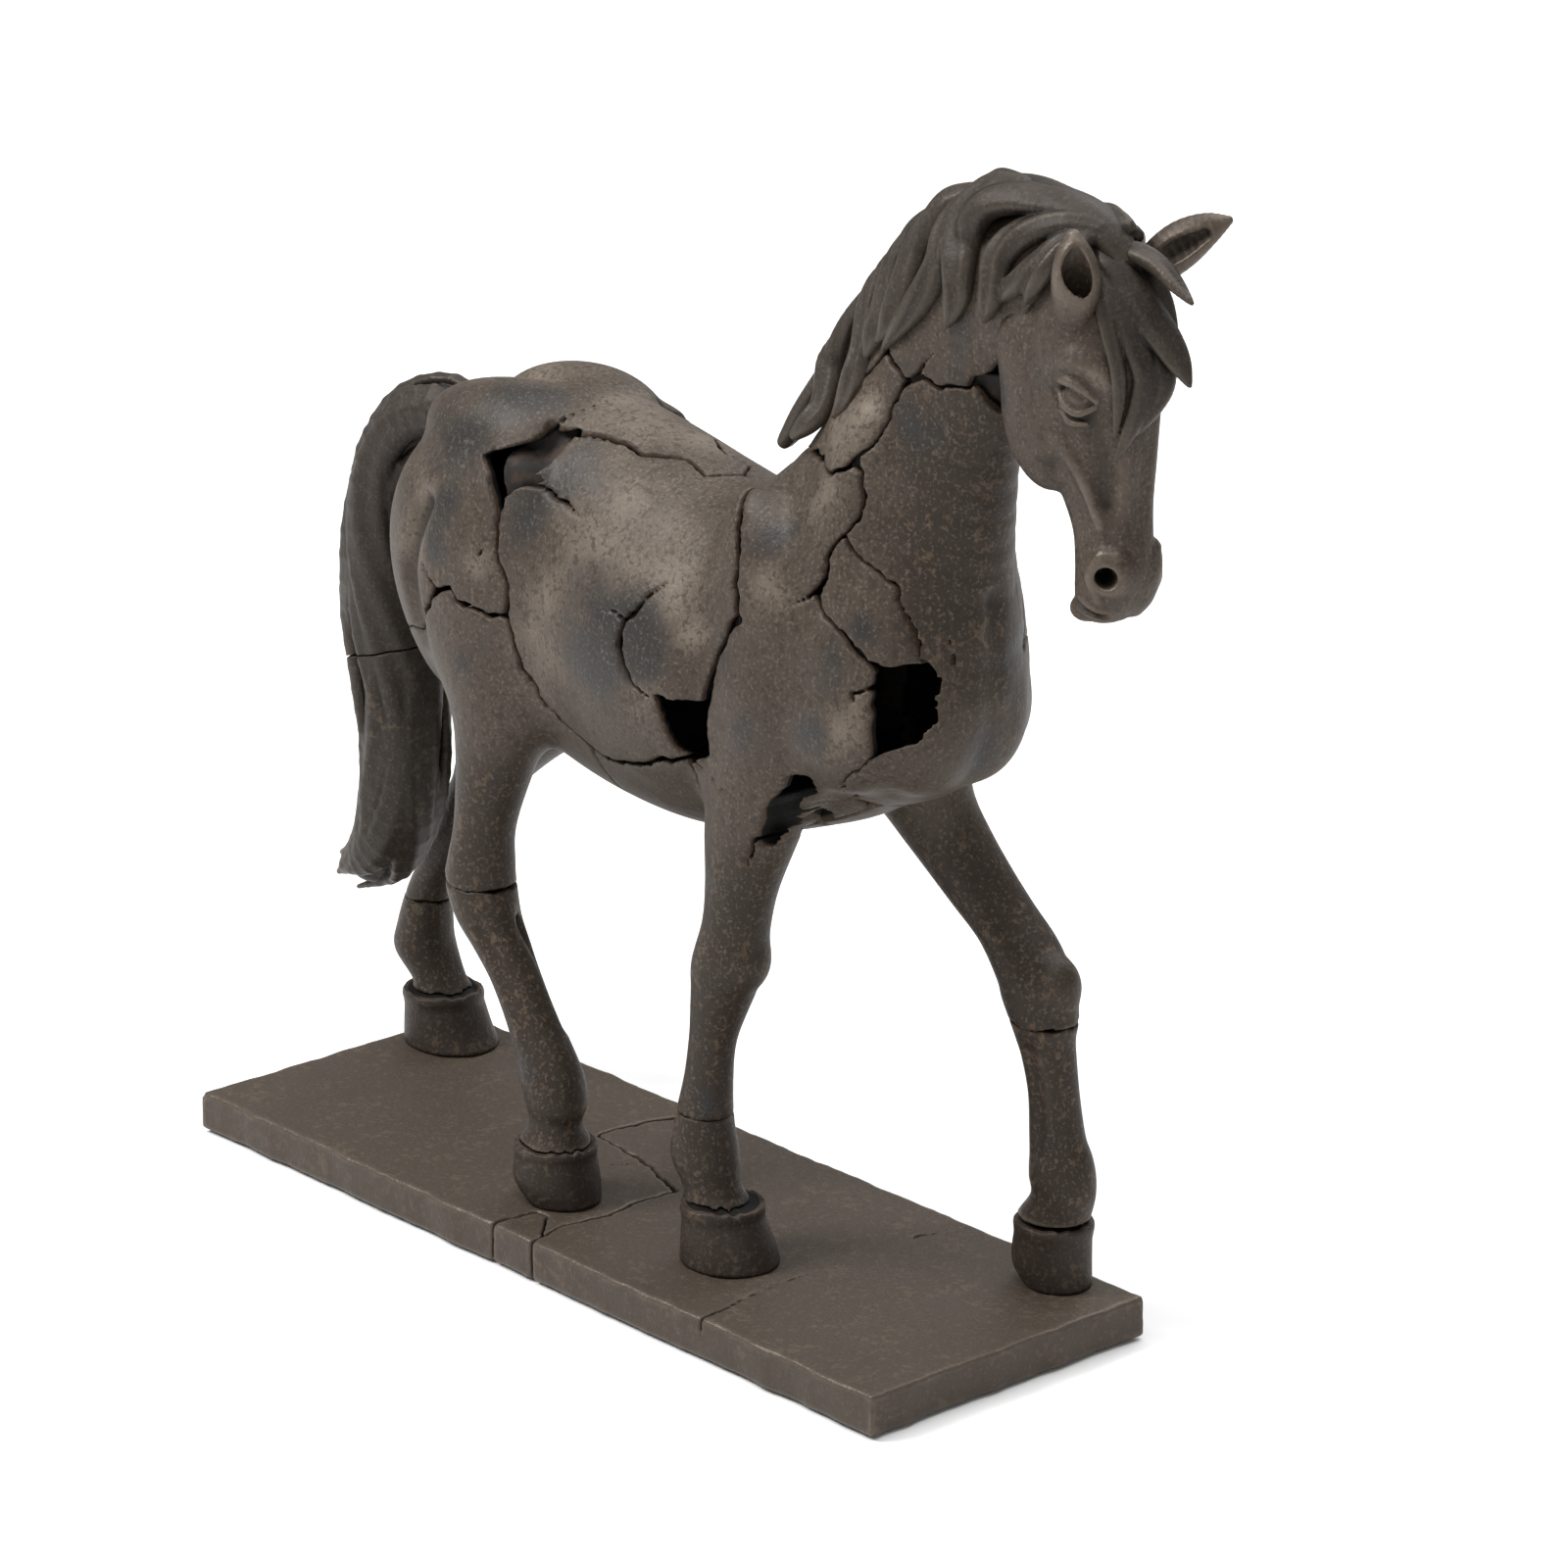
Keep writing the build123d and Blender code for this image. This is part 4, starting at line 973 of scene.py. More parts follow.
# %% Head
clay = Clay((222, -34, 328), (308, 34, 505), 0.85)
for form, k in head_forms:
    clay.add(form, k)
for form, k in head_cuts:
    clay.carve(form, k)
for form, k in eye_forms:
    clay.add(form, k)
skin = clay.field.copy()
finish_piece("head_skin", mesh_from("head_skin", clay, skin), "horse_bronze", ["head_shell"])

# Each ear is a leaf, hollowed on the side that faces forward.
EAR_HOLLOWS = {
    "ear_right": [(281, -22, 478, 4, 1.3), (284, -25, 485, 6.6, 1.3), (286, -28, 492, 6.4, 1.3),
                  (286, -28, 499, 3, 1.3)],
    "ear_left": [(287, 12, 486, 3, 1), (296, 19, 494, 4.5, 1), (305, 26, 501, 2.5, 1)],
}
for ear, rows in EARS.items():
    path = np.array(rows)
    low, high = path[:, :3].min(0) - 20, path[:, :3].max(0) + 20
    clay = Clay(low, high, 0.7)
    clay.add(cord_form(rows), 1)
    clay.carve(cord_form(EAR_HOLLOWS[ear]), 1.5)
    finish_piece(f"{ear}_skin", mesh_from(f"{ear}_skin", clay), "horse_bronze", [ear])

# %% [markdown]
# ## Locks of hair
# Sculpted hair is a few heavy locks, not single hairs. Each lock is a flat, tapering band
# that follows a wavy path over the neck, and shallow ridges along it suggest the strands.
# The ridges come from a cosine across the band. Locks overlap with hardly any fillet, so
# that deep dark gaps stay between them.
#
# Rows are x, y, z, half width, half thickness. `centre` is the line that the hair grows
# out of, and the flat side of a lock faces away from it.

# %% Lock of hair
def lock(rows, centre, ridges=1.5, steps=5):
    """Forms for one lock, a short one for each stretch of its path."""
    t = smooth_rows(rows, steps)
    middle = t[:, :3]
    along = np.gradient(middle, axis=0)
    along /= np.linalg.norm(along, axis=1)[:, None]
    outward = middle - np.array([centre(p) for p in middle])
    across = np.cross(along, outward)
    across /= np.linalg.norm(across, axis=1)[:, None]
    outward = np.cross(across, along)
    wide, thick = np.maximum(t[:, 3], 0.6), np.maximum(t[:, 4], 0.6)
    travelled = np.concatenate([[0], np.cumsum(np.linalg.norm(np.diff(middle, axis=0), axis=1))])

    def stretch(i):
        a, b = middle[i], middle[i + 1]
        edge = b - a
        length = edge @ edge
        reach = max(wide[i], wide[i + 1])

        def field(x, y, z):
            dx, dy, dz = x - a[0], y - a[1], z - a[2]
            s = np.clip((dx * edge[0] + dy * edge[1] + dz * edge[2]) / length, 0, 1)
            dx, dy, dz = dx - s * edge[0], dy - s * edge[1], dz - s * edge[2]
            c, o = [v[i][:, None, None, None] * (1 - s) + v[i + 1][:, None, None, None] * s
                    for v in (across, outward)]
            u = dx * c[0] + dy * c[1] + dz * c[2]
            h = dx * o[0] + dy * o[1] + dz * o[2]
            rest = dx * dx + dy * dy + dz * dz - u * u - h * h
            w = wide[i] + (wide[i + 1] - wide[i]) * s
            gone = travelled[i] + (travelled[i + 1] - travelled[i]) * s
            strand = np.cos(math.pi * ridges * (u / w) + 0.05 * gone)
            k = (thick[i] + (thick[i + 1] - thick[i]) * s) * (0.90 + 0.10 * strand)
            q = np.sqrt((u / w) ** 2 + (h / k) ** 2 + np.maximum(rest, 0) / (k * k)) + 1e-6
            g = np.sqrt((u / w ** 2) ** 2 + (h / k ** 2) ** 2
                        + np.maximum(rest, 0) / k ** 4) / q + 1e-6
            return (q - 1) / g

        return np.minimum(a, b) - reach, np.maximum(a, b) + reach, field

    return [stretch(i) for i in range(len(middle) - 1)]


CREST_LINE = [(60, 350), (90, 378), (106, 400), (128, 426), (143, 450), (158, 470), (176, 488),
              (194, 497), (217, 503), (241, 502), (258, 498), (275, 490), (288, 482)]


def neck_centre(p):
    """Point inside the neck that the mane grows away from."""
    x, z = np.array(CREST_LINE, float).T
    return (p[0], 0.0, np.interp(p[0], x, z) - 26.0)


def other_side(rows, shift):
    """A lock's twin on the left, moved along the neck and a little shorter."""
    return [(x + shift, 2.0 - 0.9 * y, z, w, t) for x, y, z, w, t in rows[:-2]] + [
        (*[(a + b) / 2 for a, b in zip((rows[-1][0] + shift, 2.0 - 0.9 * rows[-1][1], rows[-1][2]),
                                       (rows[-2][0] + shift, 2.0 - 0.9 * rows[-2][1],
                                        rows[-2][2]))], 1.5, 1.5)]


UPPER_LOCKS = [
    [(285, 0, 493, 7, 5), (277, 0, 500, 10, 6), (266, 0, 506, 11, 6), (252, 0, 509, 11, 6),
     (236, 0, 510, 9, 5), (222, 0, 508, 5, 4)],
    [(264, -3, 505, 5, 4), (251, -4, 508, 8, 5.5), (234, -6, 509, 10, 6.5),
     (218, -9, 506, 11, 7), (209, -12, 498, 11, 7), (206, -15, 489, 10.5, 6.5),
     (209, -20, 479, 9, 6), (211, -23, 469, 7.5, 5), (209, -24, 460, 4.5, 3.5),
     (205, -23, 452, 1.2, 1.2)],
    [(276, -5, 503, 4, 4), (262, -10, 504, 6, 5.5), (248, -13, 500, 8, 6),
     (237, -16, 493, 8.5, 6), (232, -20, 485, 8, 5.5), (233, -23, 476, 7, 5),
     (231, -24, 467, 5, 4), (226, -22, 458, 1.2, 1.2)],
    [(275, -8, 500, 4, 4), (265, -15, 497, 6, 5), (258, -20, 489, 6, 5), (250, -23, 481, 5.5, 4.5),
     (241, -23, 474, 4, 3.5), (234, -22, 469, 1.2, 1.2)],
    [(274, -12, 499, 4, 3.5), (268, -18, 495, 5, 4.5), (263, -23, 487, 5, 4.5),
     (257, -24, 479, 4, 3.5), (252, -23, 471, 1.2, 1.2)],
    [(226, 0, 511, 6, 5), (213, -2, 510, 8.5, 6), (205, -6, 505, 9, 6), (199, -10, 497, 9, 6),
     (196, -14, 488, 8.5, 6), (196, -18, 478, 8, 5.5), (192, -21, 468, 7, 5),
     (185, -23, 457, 6, 4.5), (176, -24, 446, 4, 3.5), (166, -23, 435, 1.2, 1.2)],
]
LOWER_LOCKS = [
    [(198, -1, 504, 6, 5), (186, -3, 499, 8, 6), (179, -7, 490, 8.5, 6), (175, -11, 480, 8, 5.5),
     (174, -15, 470, 7.5, 5.5), (173, -19, 460, 7, 5), (170, -22, 449, 5.5, 4.5),
     (163, -23, 438, 1.2, 1.2)],
    [(177, -1, 492, 6, 5), (166, -3, 483, 7.5, 5.5), (161, -8, 472, 8, 5.5),
     (160, -12, 461, 7.5, 5.5), (160, -17, 450, 6.5, 5), (158, -21, 439, 5, 4),
     (154, -22, 429, 1.2, 1.2)],
    [(160, 0, 476, 6, 5), (149, -4, 463, 7.5, 5.5), (146, -9, 452, 7.5, 5.5),
     (147, -14, 441, 7, 5), (149, -19, 430, 6.5, 5), (148, -23, 420, 6, 4.5),
     (143, -24, 409, 4, 3.5), (134, -22, 399, 1.2, 1.2)],
    [(136, 0, 449, 6, 5), (124, -2, 435, 7.5, 5.5), (118, -7, 421, 7.5, 5.5),
     (120, -12, 410, 7, 5), (121, -17, 400, 6, 4.5), (117, -21, 393, 5, 4.5),
     (110, -23, 386, 2.5, 2.5)],
    [(122, 2, 430, 6, 5), (109, 2, 413, 7.5, 5.5), (98, 1, 398, 7.5, 5.5), (89, 0, 385, 7, 5.5),
     (81, -2, 374, 4, 4)],
]
for name, locks, low, high, node in (
    ("mane_upper_skin", UPPER_LOCKS, (150, -40, 426), (300, 40, 520), "mane_upper"),
    ("mane_lower_skin", LOWER_LOCKS, (64, -40, 352), (212, 40, 515), "mane_lower"),
):
    clay = Clay(low, high, 0.85)
    for i, rows in enumerate(locks):
        sides = [rows] if abs(rows[3][1]) < 1.5 else [rows, other_side(rows, (4, -3)[i % 2])]
        for lock_rows in sides:
            for form in lock(lock_rows, neck_centre, 1.2 + 0.3 * (i % 3)):
                clay.add(form, 0.8)
    finish_piece(name, mesh_from(name, clay), "hair_bronze", [node])

FORELOCK = [
    [(276, -2, 496, 6, 5), (284, -3, 489, 8, 5.5), (292, -2, 480, 9, 5.5), (301, 0, 470, 9, 5),
     (309, 2, 461, 8, 4.5), (315, 3, 453, 6, 3.5), (321, 3, 445, 1.2, 1.2)],
    [(284, -7, 486, 6, 4), (291, -9, 478, 6.5, 4), (298, -8, 467, 7, 4), (302, -6, 456, 7, 3.8),
     (304, -5, 446, 6, 3.5), (303, -7, 435, 5, 3), (300, -10, 424, 3.5, 2.5),
     (295, -13, 411, 1, 1)],
    [(283, -12, 483, 4, 3), (290, -15, 475, 4.5, 3), (295, -16, 463, 4, 2.8),
     (298, -15, 450, 3.5, 2.5), (298, -14, 437, 3, 2.2), (296, -14, 422, 1, 1)],
    [(300, 2, 465, 6, 4), (306, 3, 452, 6, 3.8), (308, 2, 442, 5, 3.2), (305, -2, 432, 3.5, 2.5),
     (300, -7, 422, 1, 1)],
    [(280, 3, 494, 6, 4.5), (290, 5, 493, 7, 5), (301, 5, 490, 6.5, 4.5), (312, 3, 485, 4.5, 3.5),
     (323, 1, 480, 1.2, 1.2)],
    [(284, 8, 488, 6, 4), (293, 12, 478, 6, 4), (298, 13, 466, 5.5, 3.5), (300, 12, 453, 4, 3),
     (299, 11, 438, 1, 1)],
]
clay = Clay((262, -28, 402), (330, 26, 508), 0.7)
for rows in FORELOCK:
    for form in lock(rows, lambda p: (262.0, 0.0, p[2] - 8.0)):
        clay.add(form, 0.6)
finish_piece("forelock_skin", mesh_from("forelock_skin", clay), "hair_bronze", ["forelock"])

# %% [markdown]
# ## Tail
# The tail arches out of the croup, hangs in long combed strands and flicks back at its
# ragged end. Strands are placed round a bent core by angle, and each one drifts a little
# round it on the way down, as combed hair does.

# %% Tail
TAIL = [
    (-136, 336, 12), (-158, 341, 14), (-180, 330, 17), (-197, 305, 20), (-204, 270, 22),
    (-204, 235, 22), (-199, 200, 21), (-196, 170, 20), (-199, 142, 19.5), (-208, 118, 18),
    (-222, 103, 16), (-240, 93, 13),
]
TAIL_BREAK = 214.0
tail_path = smooth_rows(TAIL, 6)
tail_along = np.gradient(tail_path[:, :2], axis=0)
tail_along /= np.linalg.norm(tail_along, axis=1)[:, None]


def tail_strand(angle, drift, reach, end):
    """Rows of one strand round the core, from the root to a share of the length."""
    rows = []
    last = end * (len(tail_path) - 1)
    for step in np.linspace(0, last, 12):
        i = np.clip(step, 0, len(tail_path) - 1)
        x, z, r = [np.interp(i, np.arange(len(tail_path)), tail_path[:, k]) for k in range(3)]
        ax, az = [np.interp(i, np.arange(len(tail_path)), tail_along[:, k]) for k in range(2)]
        turn = angle + drift * math.sin(2.6 * math.pi * i / len(tail_path) + 3 * angle)
        out, side = math.cos(turn), math.sin(turn)
        share = step / last
        taper = min(1.0, 1.15 - 0.25 * share) if share < 0.9 else max(0.15, (1 - share) * 8)
        rows.append((x + az * out * r * reach, side * r * reach, z - ax * out * r * reach,
                     max(1.4, 0.56 * r * taper), max(1.4, 0.30 * r * taper)))
    return rows


def tail_centre(p):
    """Nearest point of the tail's core."""
    i = np.argmin((tail_path[:, 0] - p[0]) ** 2 + (tail_path[:, 1] - p[2]) ** 2)
    return (tail_path[i, 0], 0.0, tail_path[i, 1])


tail_rng = np.random.default_rng(5)
strands = []
for i in range(11):
    angle = 2 * math.pi * (i + tail_rng.uniform(-0.3, 0.3)) / 11
    strands.append(tail_strand(angle, tail_rng.uniform(0.5, 0.9), tail_rng.uniform(0.76, 0.92),
                               tail_rng.uniform(0.95, 1.0)))
tail_forms = [(cord_form([(x, 0, z, 0.78 * r, 1.0) for x, z, r in TAIL[:-1]]), 1.0)]
for rows in strands:
    tail_forms += [(form, 0.8) for form in lock(rows, tail_centre, 1.6, 3)]
for name, low, high, keep_above, node in (
    ("tail_upper_skin", (-245, -32, 208), (-120, 32, 366), True, "tail_upper"),
    ("tail_lower_skin", (-258, -32, 74), (-160, 32, 220), False, "tail_lower"),
):
    clay = Clay(low, high, 0.95)
    for form, k in tail_forms:
        clay.add(form, k)
    skin = clay.field.copy()
    x, y, z = clay.points()
    seam = z - TAIL_BREAK - 0.28 * (x + 200) - 1.2 * flat_noise(x + y, z, 7.0, LATTICES[1])
    clay.field = soft_max(clay.field, (-seam if keep_above else seam) + 0.3, 0.5)
    clay.field = clay.field.astype(np.float32)
    finish_piece(name, mesh_from(name, clay, skin), "hair_bronze", [node])

# %% [markdown]
# ## The slab
# The slab is a sand-cast plate, broken across by one crack, with a chip broken out of the
# near edge. Its edges are worn and wavy, because the thin arris chips first. It's one field
# again: a box with noise on its sides, cut by the crack's line in plan.

# %% Slab
SLAB_CRACK = [(10, -95), (8, -87), (5, -67), (10, -48), (6, -27), (8, -5), (-25, 6), (-70, 13),
              (-69, 31), (-61, 59), (-52, 78)]
CHIP_LINE = [(9, -87), (-8, -68), (-17, -70), (-20, -94)]
PLAN_HAIRLINES = [
    [(126, -92), (124, -64), (120, -44), (121, -18)],
    [(121, 39), (129, 59), (129, 80)],
    [(-25, 6), (-40, -10), (-62, -14)],
]
slab_box = np.array([[min(a, b) for a, b in zip(slab_low, rear_low)],
                     [max(a, b) for a, b in zip(slab_high, rear_high)]]) / MM
slab_box -= (0, MIDLINE, SLAB_TOP)
near_y, far_y = slab_box[0, 1] - 60, slab_box[1, 1] + 60
back_x, front_x = slab_box[0, 0] - 60, slab_box[1, 0] + 60
cross = [(SLAB_CRACK[0][0], near_y), *SLAB_CRACK, (SLAB_CRACK[-1][0], far_y)]
chip_plan = [(CHIP_LINE[0][0], near_y), *CHIP_LINE, (CHIP_LINE[-1][0], near_y)]
slab_parts = {
    "slab_rear_skin": ("base_rear_slab", cross + [(back_x, far_y), (back_x, near_y)]),
    "slab_front_skin": ("base_front_slab", cross + [(front_x, far_y), (front_x, near_y)]),
    "slab_chip_skin": ("base_chip", chip_plan),
}
reach_x = {"slab_rear_skin": (slab_box[0, 0], 14), "slab_front_skin": (-76, slab_box[1, 0]),
           "slab_chip_skin": (-30, 14)}
reach_y = {"slab_chip_skin": (slab_box[0, 1], -60)}
for name, (node, plan) in slab_parts.items():
    (x0, x1), (y0, y1) = reach_x[name], reach_y.get(name, (slab_box[0, 1], slab_box[1, 1]))
    clay = Clay((x0 - 3, y0 - 3, slab_box[0, 2] - 3), (x1 + 3, y1 + 3, 3), 1.15)
    x, y, z = clay.points()
    px, py = roughened(x[:, :, 0], y[:, :, 0])
    worn = 0.8 + 0.8 * flat_noise(x + 0.4 * z, y, 18.0, LATTICES[0]) \
        + 0.35 * flat_noise(x - 0.7 * z, y + z, 6.0, LATTICES[1])
    sides = np.maximum(np.abs(x - slab_box[:, 0].mean()) - np.ptp(slab_box[:, 0]) / 2,
                       np.abs(y - slab_box[:, 1].mean()) - np.ptp(slab_box[:, 1]) / 2) + worn
    dents = 0.25 + 0.25 * flat_noise(x, y, 11.0, LATTICES[2]) \
        + 0.15 * flat_noise(x, y, 4.0, LATTICES[0])
    clay.field = soft_max(sides, np.maximum(z + dents, slab_box[0, 2] - z), 2.4)
    width = 1.3 + 0.9 * flat_noise(px, py, 18.0, LATTICES[1])
    clay.field = soft_max(clay.field, (outline_field(plan, px, py) + width / 2)[:, :, None], 0.8)
    if name == "slab_rear_skin":
        chip = outline_field(chip_plan, px, py)
        clay.field = soft_max(clay.field, (0.5 - chip)[:, :, None], 0.8)
    skin = clay.field.copy()
    for path in PLAN_HAIRLINES:
        d, taper = path_field(path, (1.2, 0.9, 0.2), px, py)
        clay.field = soft_max(clay.field, -np.maximum((d - taper / 2)[:, :, None], -7 - z), 0.5)
    clay.field = clay.field.astype(np.float32)
    finish_piece(name, mesh_from(name, clay, skin), "slab_bronze", [node])

# %% [markdown]
# ## Shader kit
# A patina is many layers, and drawing it as nodes by hand is slow. `Wire` is one output in a
# shader, and ordinary arithmetic on wires adds Math nodes. `Finish` is one material, and its
# `node` method makes every other kind of node.

# %% Shader kit
class Wire:
    """One output in a shader; arithmetic on it adds Math nodes."""

    def __init__(self, finish, socket):
        self.finish, self.socket = finish, socket

    def maths(self, operation, *values):
        return self.finish.node("ShaderNodeMath", {"operation": operation},
                                dict(enumerate(values)))

    def __add__(self, other):
        return self.maths("ADD", self, other)

    def __sub__(self, other):
        return self.maths("SUBTRACT", self, other)

    def __rsub__(self, other):
        return self.maths("SUBTRACT", other, self)

    def __mul__(self, other):
        return self.maths("MULTIPLY", self, other)

    __radd__, __rmul__ = __add__, __mul__

    def band(self, low, high):
        """Smooth step from 0 at low to 1 at high."""
        return self.finish.node("ShaderNodeMapRange", {"interpolation_type": "SMOOTHSTEP"},
                                {"Value": self, "From Min": low, "From Max": high})


class Finish:
    """A material, built up layer by layer."""

    def __init__(self, name):
        self.material = bpy.data.materials.new(name)
        self.material.use_nodes = True
        self.tree = self.material.node_tree
        self.shader = self.tree.nodes["Principled BSDF"]
        place = self.node("ShaderNodeTexCoord", {}, {}, "Object")
        self.place = self.node("ShaderNodeVectorMath", {"operation": "SCALE"},
                               {"Vector": place, "Scale": 1 / MM})

    def node(self, kind, settings, inputs, output=0):
        made = self.tree.nodes.new(kind)
        for key, value in settings.items():
            setattr(made, key, value)
        for key, value in inputs.items():
            if isinstance(value, Wire):
                self.tree.links.new(value.socket, made.inputs[key])
            else:
                made.inputs[key].default_value = value
        return Wire(self, made.outputs[output])

    def noise(self, size, detail=3.0, stretch=(1, 1, 1)):
        """Noise with lumps of about one size in millimetres, longer where stretch is more."""
        across = tuple(1 / (size * s) for s in stretch)
        scaled = self.node("ShaderNodeVectorMath", {"operation": "MULTIPLY"},
                           {0: self.place, 1: across})
        return self.node("ShaderNodeTexNoise", {}, {"Vector": scaled, "Scale": 1.0,
                                                    "Detail": detail})

    def number(self, name):
        """A number kept on the vertices."""
        return self.node("ShaderNodeAttribute", {"attribute_name": name}, {}, "Fac")

    def blend(self, amount, base, top):
        """Colour on colour, by an amount."""
        made = self.tree.nodes.new("ShaderNodeMix")
        made.data_type = "RGBA"
        for index, value in ((0, amount), (6, base), (7, top)):
            if isinstance(value, Wire):
                self.tree.links.new(value.socket, made.inputs[index])
            else:
                made.inputs[index].default_value = value if index == 0 else (*value, 1)
        return Wire(self, made.outputs[2])

    def feed(self, **inputs):
        """Connect or set the shader's own sockets."""
        for key, value in inputs.items():
            socket = self.shader.inputs[key.replace("_", " ")]
            if isinstance(value, Wire):
                self.tree.links.new(value.socket, socket)
            else:
                socket.default_value = value

    def bump(self, height, distance, strength=1.0):
        """Relief of so many millimetres."""
        made = self.node("ShaderNodeBump", {}, {"Height": height, "Distance": distance * MM,
                                                "Strength": strength}, "Normal")
        self.feed(Normal=made)


print("shader kit ready")

# %% [markdown]
# ## Patinated bronze
# Bronze like this is never polished. It is darkened with chemicals, and then tones are
# stippled and dry-brushed over it: tan on the swellings, partly a painted highlight on the lit
# tops, slate-grey clouds, and umber on the legs and the front of the neck, partly painted
# shade. Folds are painted nearly black, partly dark patina and partly painted shade, the edges
# wear lighter, the broken wall inside a crack is rough and rusty, and the inside of the wall
# is painted near-black as painted shade of the hollow. The same layers, in different
# strengths, finish the body, the hair, the hooves and the slab.

# %% Bronze finishes
# Near-black for folds: partly dark patina, partly painted shade.
FOLD_PATINA_AND_SHADE = (0.010, 0.008, 0.006)
RUST = (0.060, 0.036, 0.022)
# Near-black for the inside of the wall: painted shade of the hollow.
INSIDE_SHADE = (0.0022, 0.0018, 0.0015)


def bronze(name, ground, tan, slate, umber_and_shade, gold, clouds, grain, fold_patina_shade_band=(0.03, 0.40)):
    """Patinated bronze with painted shade and painted highlight: five tones, how cloudy it is and how deep
    its grain is.
    """
    f = Finish(name)
    large, middle = f.noise(58, 4), f.noise(15, 5)
    grit, fleck = f.noise(1.5, 3), f.noise(3.2, 3)
    hairlines = f.noise(2.0, 3, (0.8, 0.8, 9.0))
    hollow, inner = f.number("hollow"), f.number("inner")

    patchy = f.noise(26, 3)
    # Dry-brushed tan, partly a painted highlight on the lit tops and sides.
    dry_brush_and_highlight = (f.number("brush_and_highlight") * 0.5 + patchy * 0.5 + large * 0.4 + grit * 0.3
           + hairlines * 0.2).band(0.68, 1.36)
    colour = f.blend(dry_brush_and_highlight, ground, tan)
    # Umber on the neck front and legs, partly painted shade.
    brown = (f.number("umber_and_shade") * 0.95 + (middle - 0.5) * 0.7).band(0.15, 0.85)
    colour = f.blend(brown, colour, umber_and_shade)
    stipple = (fleck + (middle - 0.5) * 0.5).band(0.56, 0.70)
    colour = f.blend(stipple * brown * 0.5, colour, gold)
    cloud = (f.number("slate") + (patchy - 0.5) * 1.1 + (grit - 0.5) * 0.6
             + (large - 0.5) * clouds).band(0.30, 0.95)
    colour = f.blend(cloud * 0.9, colour, slate)
    colour = f.blend((grit + (hairlines - 0.5) * 0.3).band(0.52, 0.72) * 0.42, colour, tan)
    colour = f.blend((fleck * -1.0 + (grit * -0.5)).band(-0.74, -0.58) * 0.6, colour, umber_and_shade)
    worn = (hollow * -1.0 + (middle - 0.5) * 0.12).band(0.10, 0.34)
    colour = f.blend(worn * 0.45, colour, tan)
    # Folds painted near-black: partly dark patina, partly painted shade.
    fold = (hollow + (middle - 0.5) * 0.08).band(*fold_patina_shade_band)
    colour = f.blend(fold * 0.92, colour, FOLD_PATINA_AND_SHADE)
    edge = (inner + (fleck - 0.5) * 0.5).band(0.05, 0.4)
    colour = f.blend(edge, colour, RUST)
    # The inside of the wall painted near-black: painted shade of the hollow.
    colour = f.blend(inner.band(0.55, 1.0), colour, INSIDE_SHADE)
    f.feed(Base_Color=colour, Roughness=0.53 - worn * 0.12 - cloud * 0.06 + (grit - 0.5) * 0.22
           + inner * 0.3, Metallic=0.16 + worn * 0.15 - inner * 0.1, Specular_IOR_Level=0.26)
    f.bump(grit * 0.35 + fleck * 0.45 + hairlines * 0.22 + middle * 0.9, grain)
    return f.material


body_bronze = bronze("horse_bronze", (0.050, 0.037, 0.027), (0.150, 0.120, 0.094),
                     (0.022, 0.0215, 0.0215), (0.027, 0.019, 0.013), (0.115, 0.075, 0.044),
                     0.75, 0.55)
hair_bronze = bronze("hair_bronze", (0.029, 0.022, 0.017), (0.082, 0.066, 0.051),
                     (0.021, 0.020, 0.0195), (0.022, 0.016, 0.011), (0.080, 0.055, 0.034),
                     0.45, 0.50, (0.02, 0.25))
hoof_bronze = bronze("hoof_bronze", (0.034, 0.026, 0.020), (0.095, 0.077, 0.060),
                     (0.022, 0.021, 0.020), (0.028, 0.020, 0.015), (0.095, 0.066, 0.041),
                     0.5, 0.50)
slab_bronze = bronze("slab_bronze", (0.066, 0.051, 0.039), (0.112, 0.091, 0.072),
                     (0.044, 0.039, 0.035), (0.058, 0.044, 0.033), (0.105, 0.079, 0.055),
                     0.5, 0.60)
print("four bronze finishes")

# %% [markdown]
# ## Hidden hardware and felt
# The bars, bands, studs and nuts are mild steel that has dulled in the dark, and the felt
# under the slab is pressed wool: matte, with a short tangled grain.

# %% Steel and felt
steel = Finish("inner_steel")
scale_marks, fine = steel.noise(6, 4), steel.noise(0.7, 2, (1, 6, 1))
steel.feed(Base_Color=steel.blend(scale_marks.band(0.45, 0.7), (0.020, 0.018, 0.017),
                                  (0.050, 0.032, 0.022)),
           Roughness=0.55 + scale_marks * 0.3, Metallic=0.8 - scale_marks * 0.4)
steel.bump(fine * 0.5 + scale_marks, 0.15)
felt = Finish("felt")
wool = felt.noise(0.5, 4, (3, 1, 1)) + felt.noise(0.5, 4, (1, 3, 1))
felt.feed(Base_Color=felt.blend(wool.band(0.8, 1.2), (0.012, 0.014, 0.012),
                                (0.035, 0.038, 0.034)),
          Roughness=0.95, Sheen_Weight=0.3, Sheen_Roughness=0.6)
felt.bump(wool, 0.3)
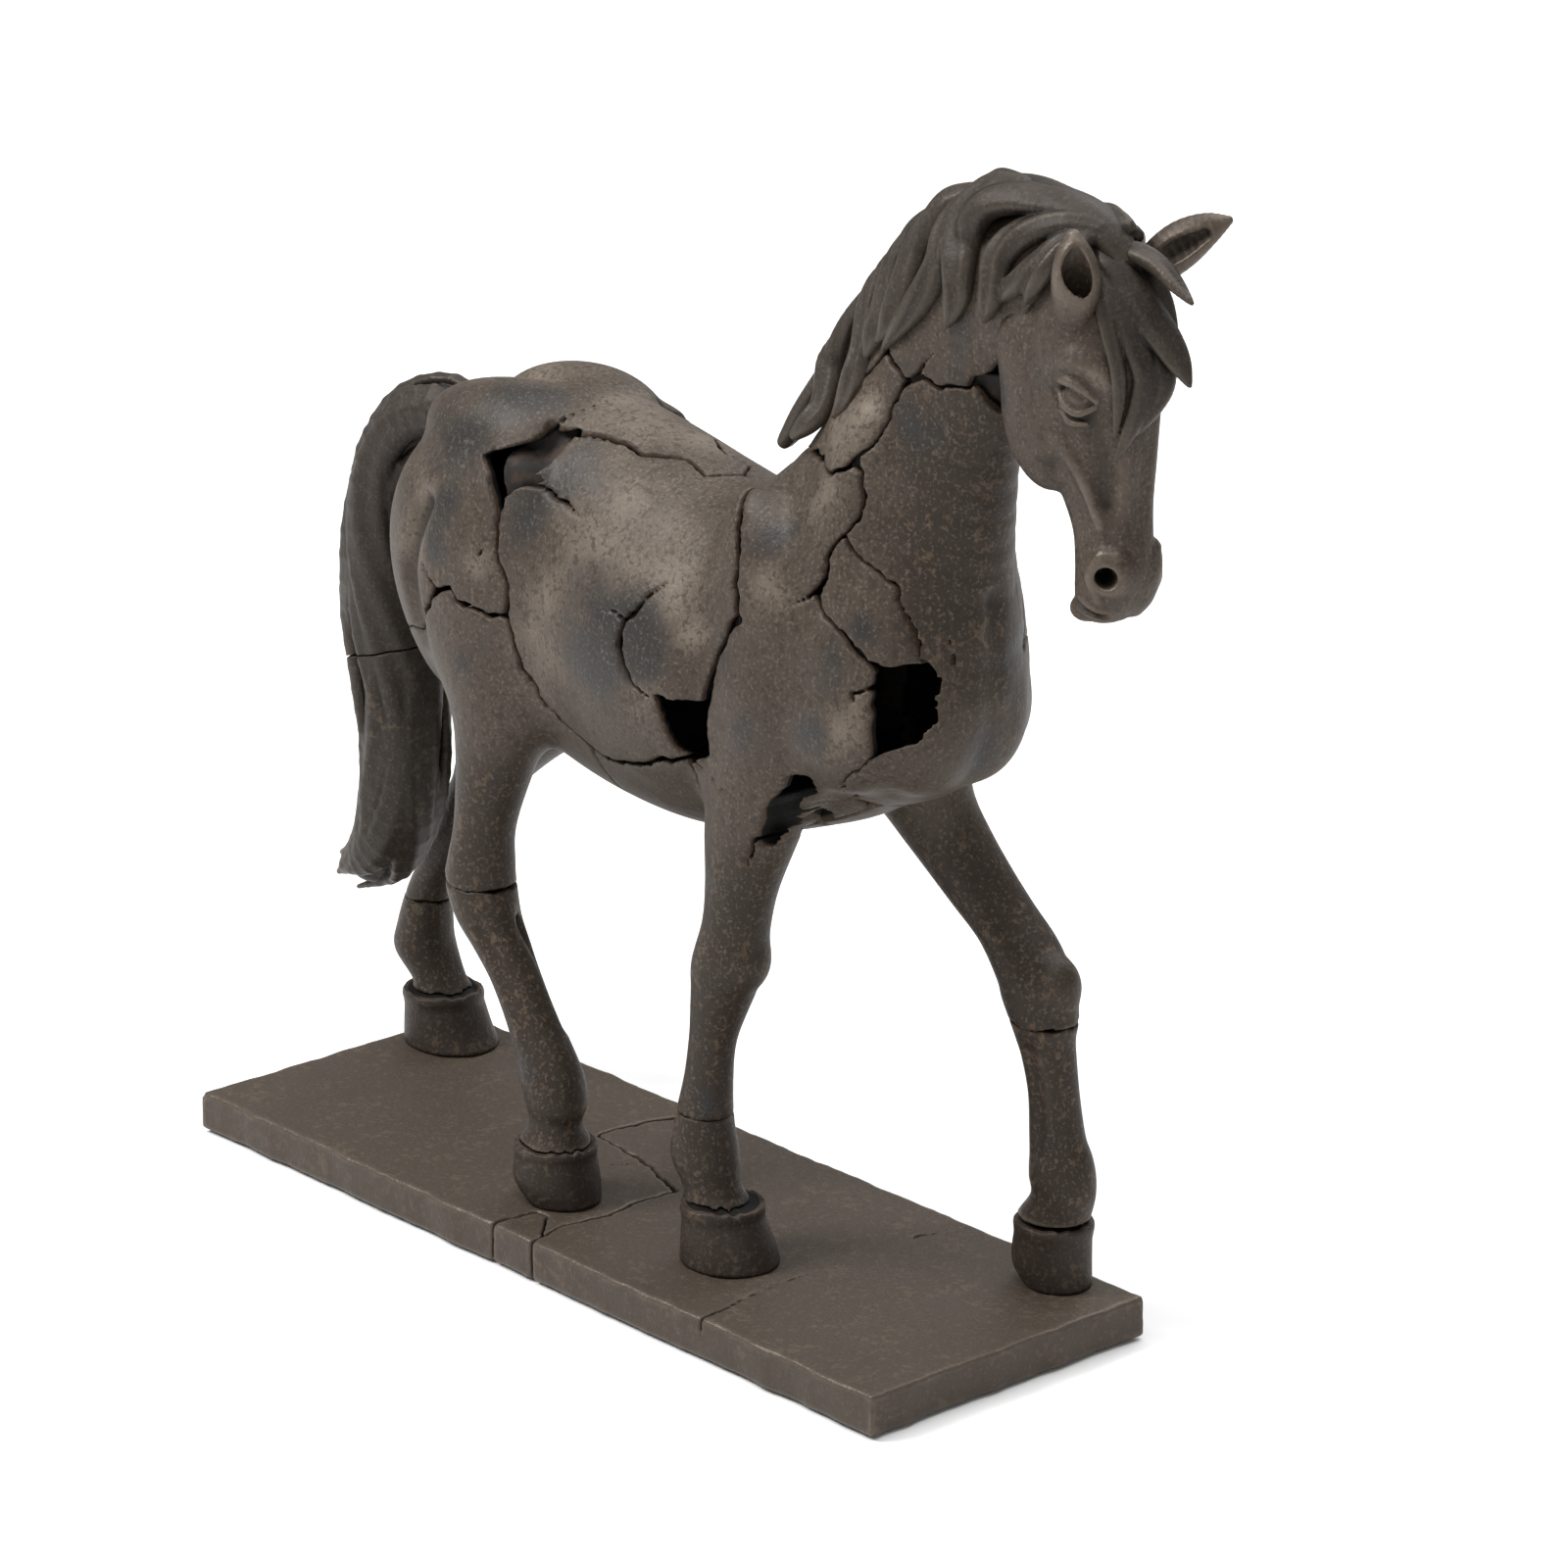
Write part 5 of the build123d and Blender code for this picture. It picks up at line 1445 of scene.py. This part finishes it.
FINISHES = {"horse_bronze": body_bronze, "hair_bronze": hair_bronze, "hoof_bronze": hoof_bronze,
            "slab_bronze": slab_bronze, "inner_steel": steel.material, "felt": felt.material}
for name, piece in pieces.items():
    piece.data.materials.append(FINISHES[piece_slots[name]])
for node_name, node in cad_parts.items():
    material = FINISHES["felt" if node_name == "felt_liner" else "inner_steel"]
    for material_slot in node.material_slots:
        material_slot.material = material
print(len(pieces), "pieces and", len(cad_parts), "nodes have a finish")

# %% [markdown]
# ## Floor and light
# A matte bronze needs one broad soft key from above, or its modelling goes flat, and weak
# fills so that its folds stay dark. The floor is plain and pale.

# %% Stage
floor_mesh = bpy.data.meshes.new("floor")
floor_mesh.from_pydata([(-9, -9, 0), (9, -9, 0), (9, 9, 0), (-9, 9, 0)], [], [(0, 1, 2, 3)])
floor = bpy.data.objects.new("floor", floor_mesh)
bpy.context.scene.collection.objects.link(floor)
pale = Finish("pale_floor")
pale.feed(Base_Color=(0.86, 0.86, 0.86, 1), Roughness=0.9, Specular_IOR_Level=0.1)
floor_mesh.materials.append(pale.material)

LIGHTS = {
    "key": ((-1.4, -1.9, 2.6), 1.2, 100),
    "front_fill": ((2.6, -1.6, 1.5), 1.8, 9),
    "back_rim": ((-0.6, 2.4, 2.2), 1.6, 26),
    "ceiling": ((0.0, 0.0, 4.8), 5.5, 285),
}
aim = Vector((0.0, 0.0, 0.25))
for name, (spot, size, power) in LIGHTS.items():
    lamp = bpy.data.lights.new(name, "AREA")
    lamp.size, lamp.energy = size, power
    holder = bpy.data.objects.new(name, lamp)
    bpy.context.scene.collection.objects.link(holder)
    holder.location = spot
    holder.rotation_mode = "QUATERNION"
    holder.rotation_quaternion = (aim - Vector(spot)).to_track_quat("-Z", "Y")
world = bpy.data.worlds.new("studio")
bpy.context.scene.world = world
world.use_nodes = True
world.node_tree.nodes["Background"].inputs["Color"].default_value = (1, 1, 1, 1)
world.node_tree.nodes["Background"].inputs["Strength"].default_value = 0.30
bpy.context.scene.view_settings.view_transform = "Standard"
print(len(LIGHTS), "lights")

# %% The end
bpy.context.view_layer.update()
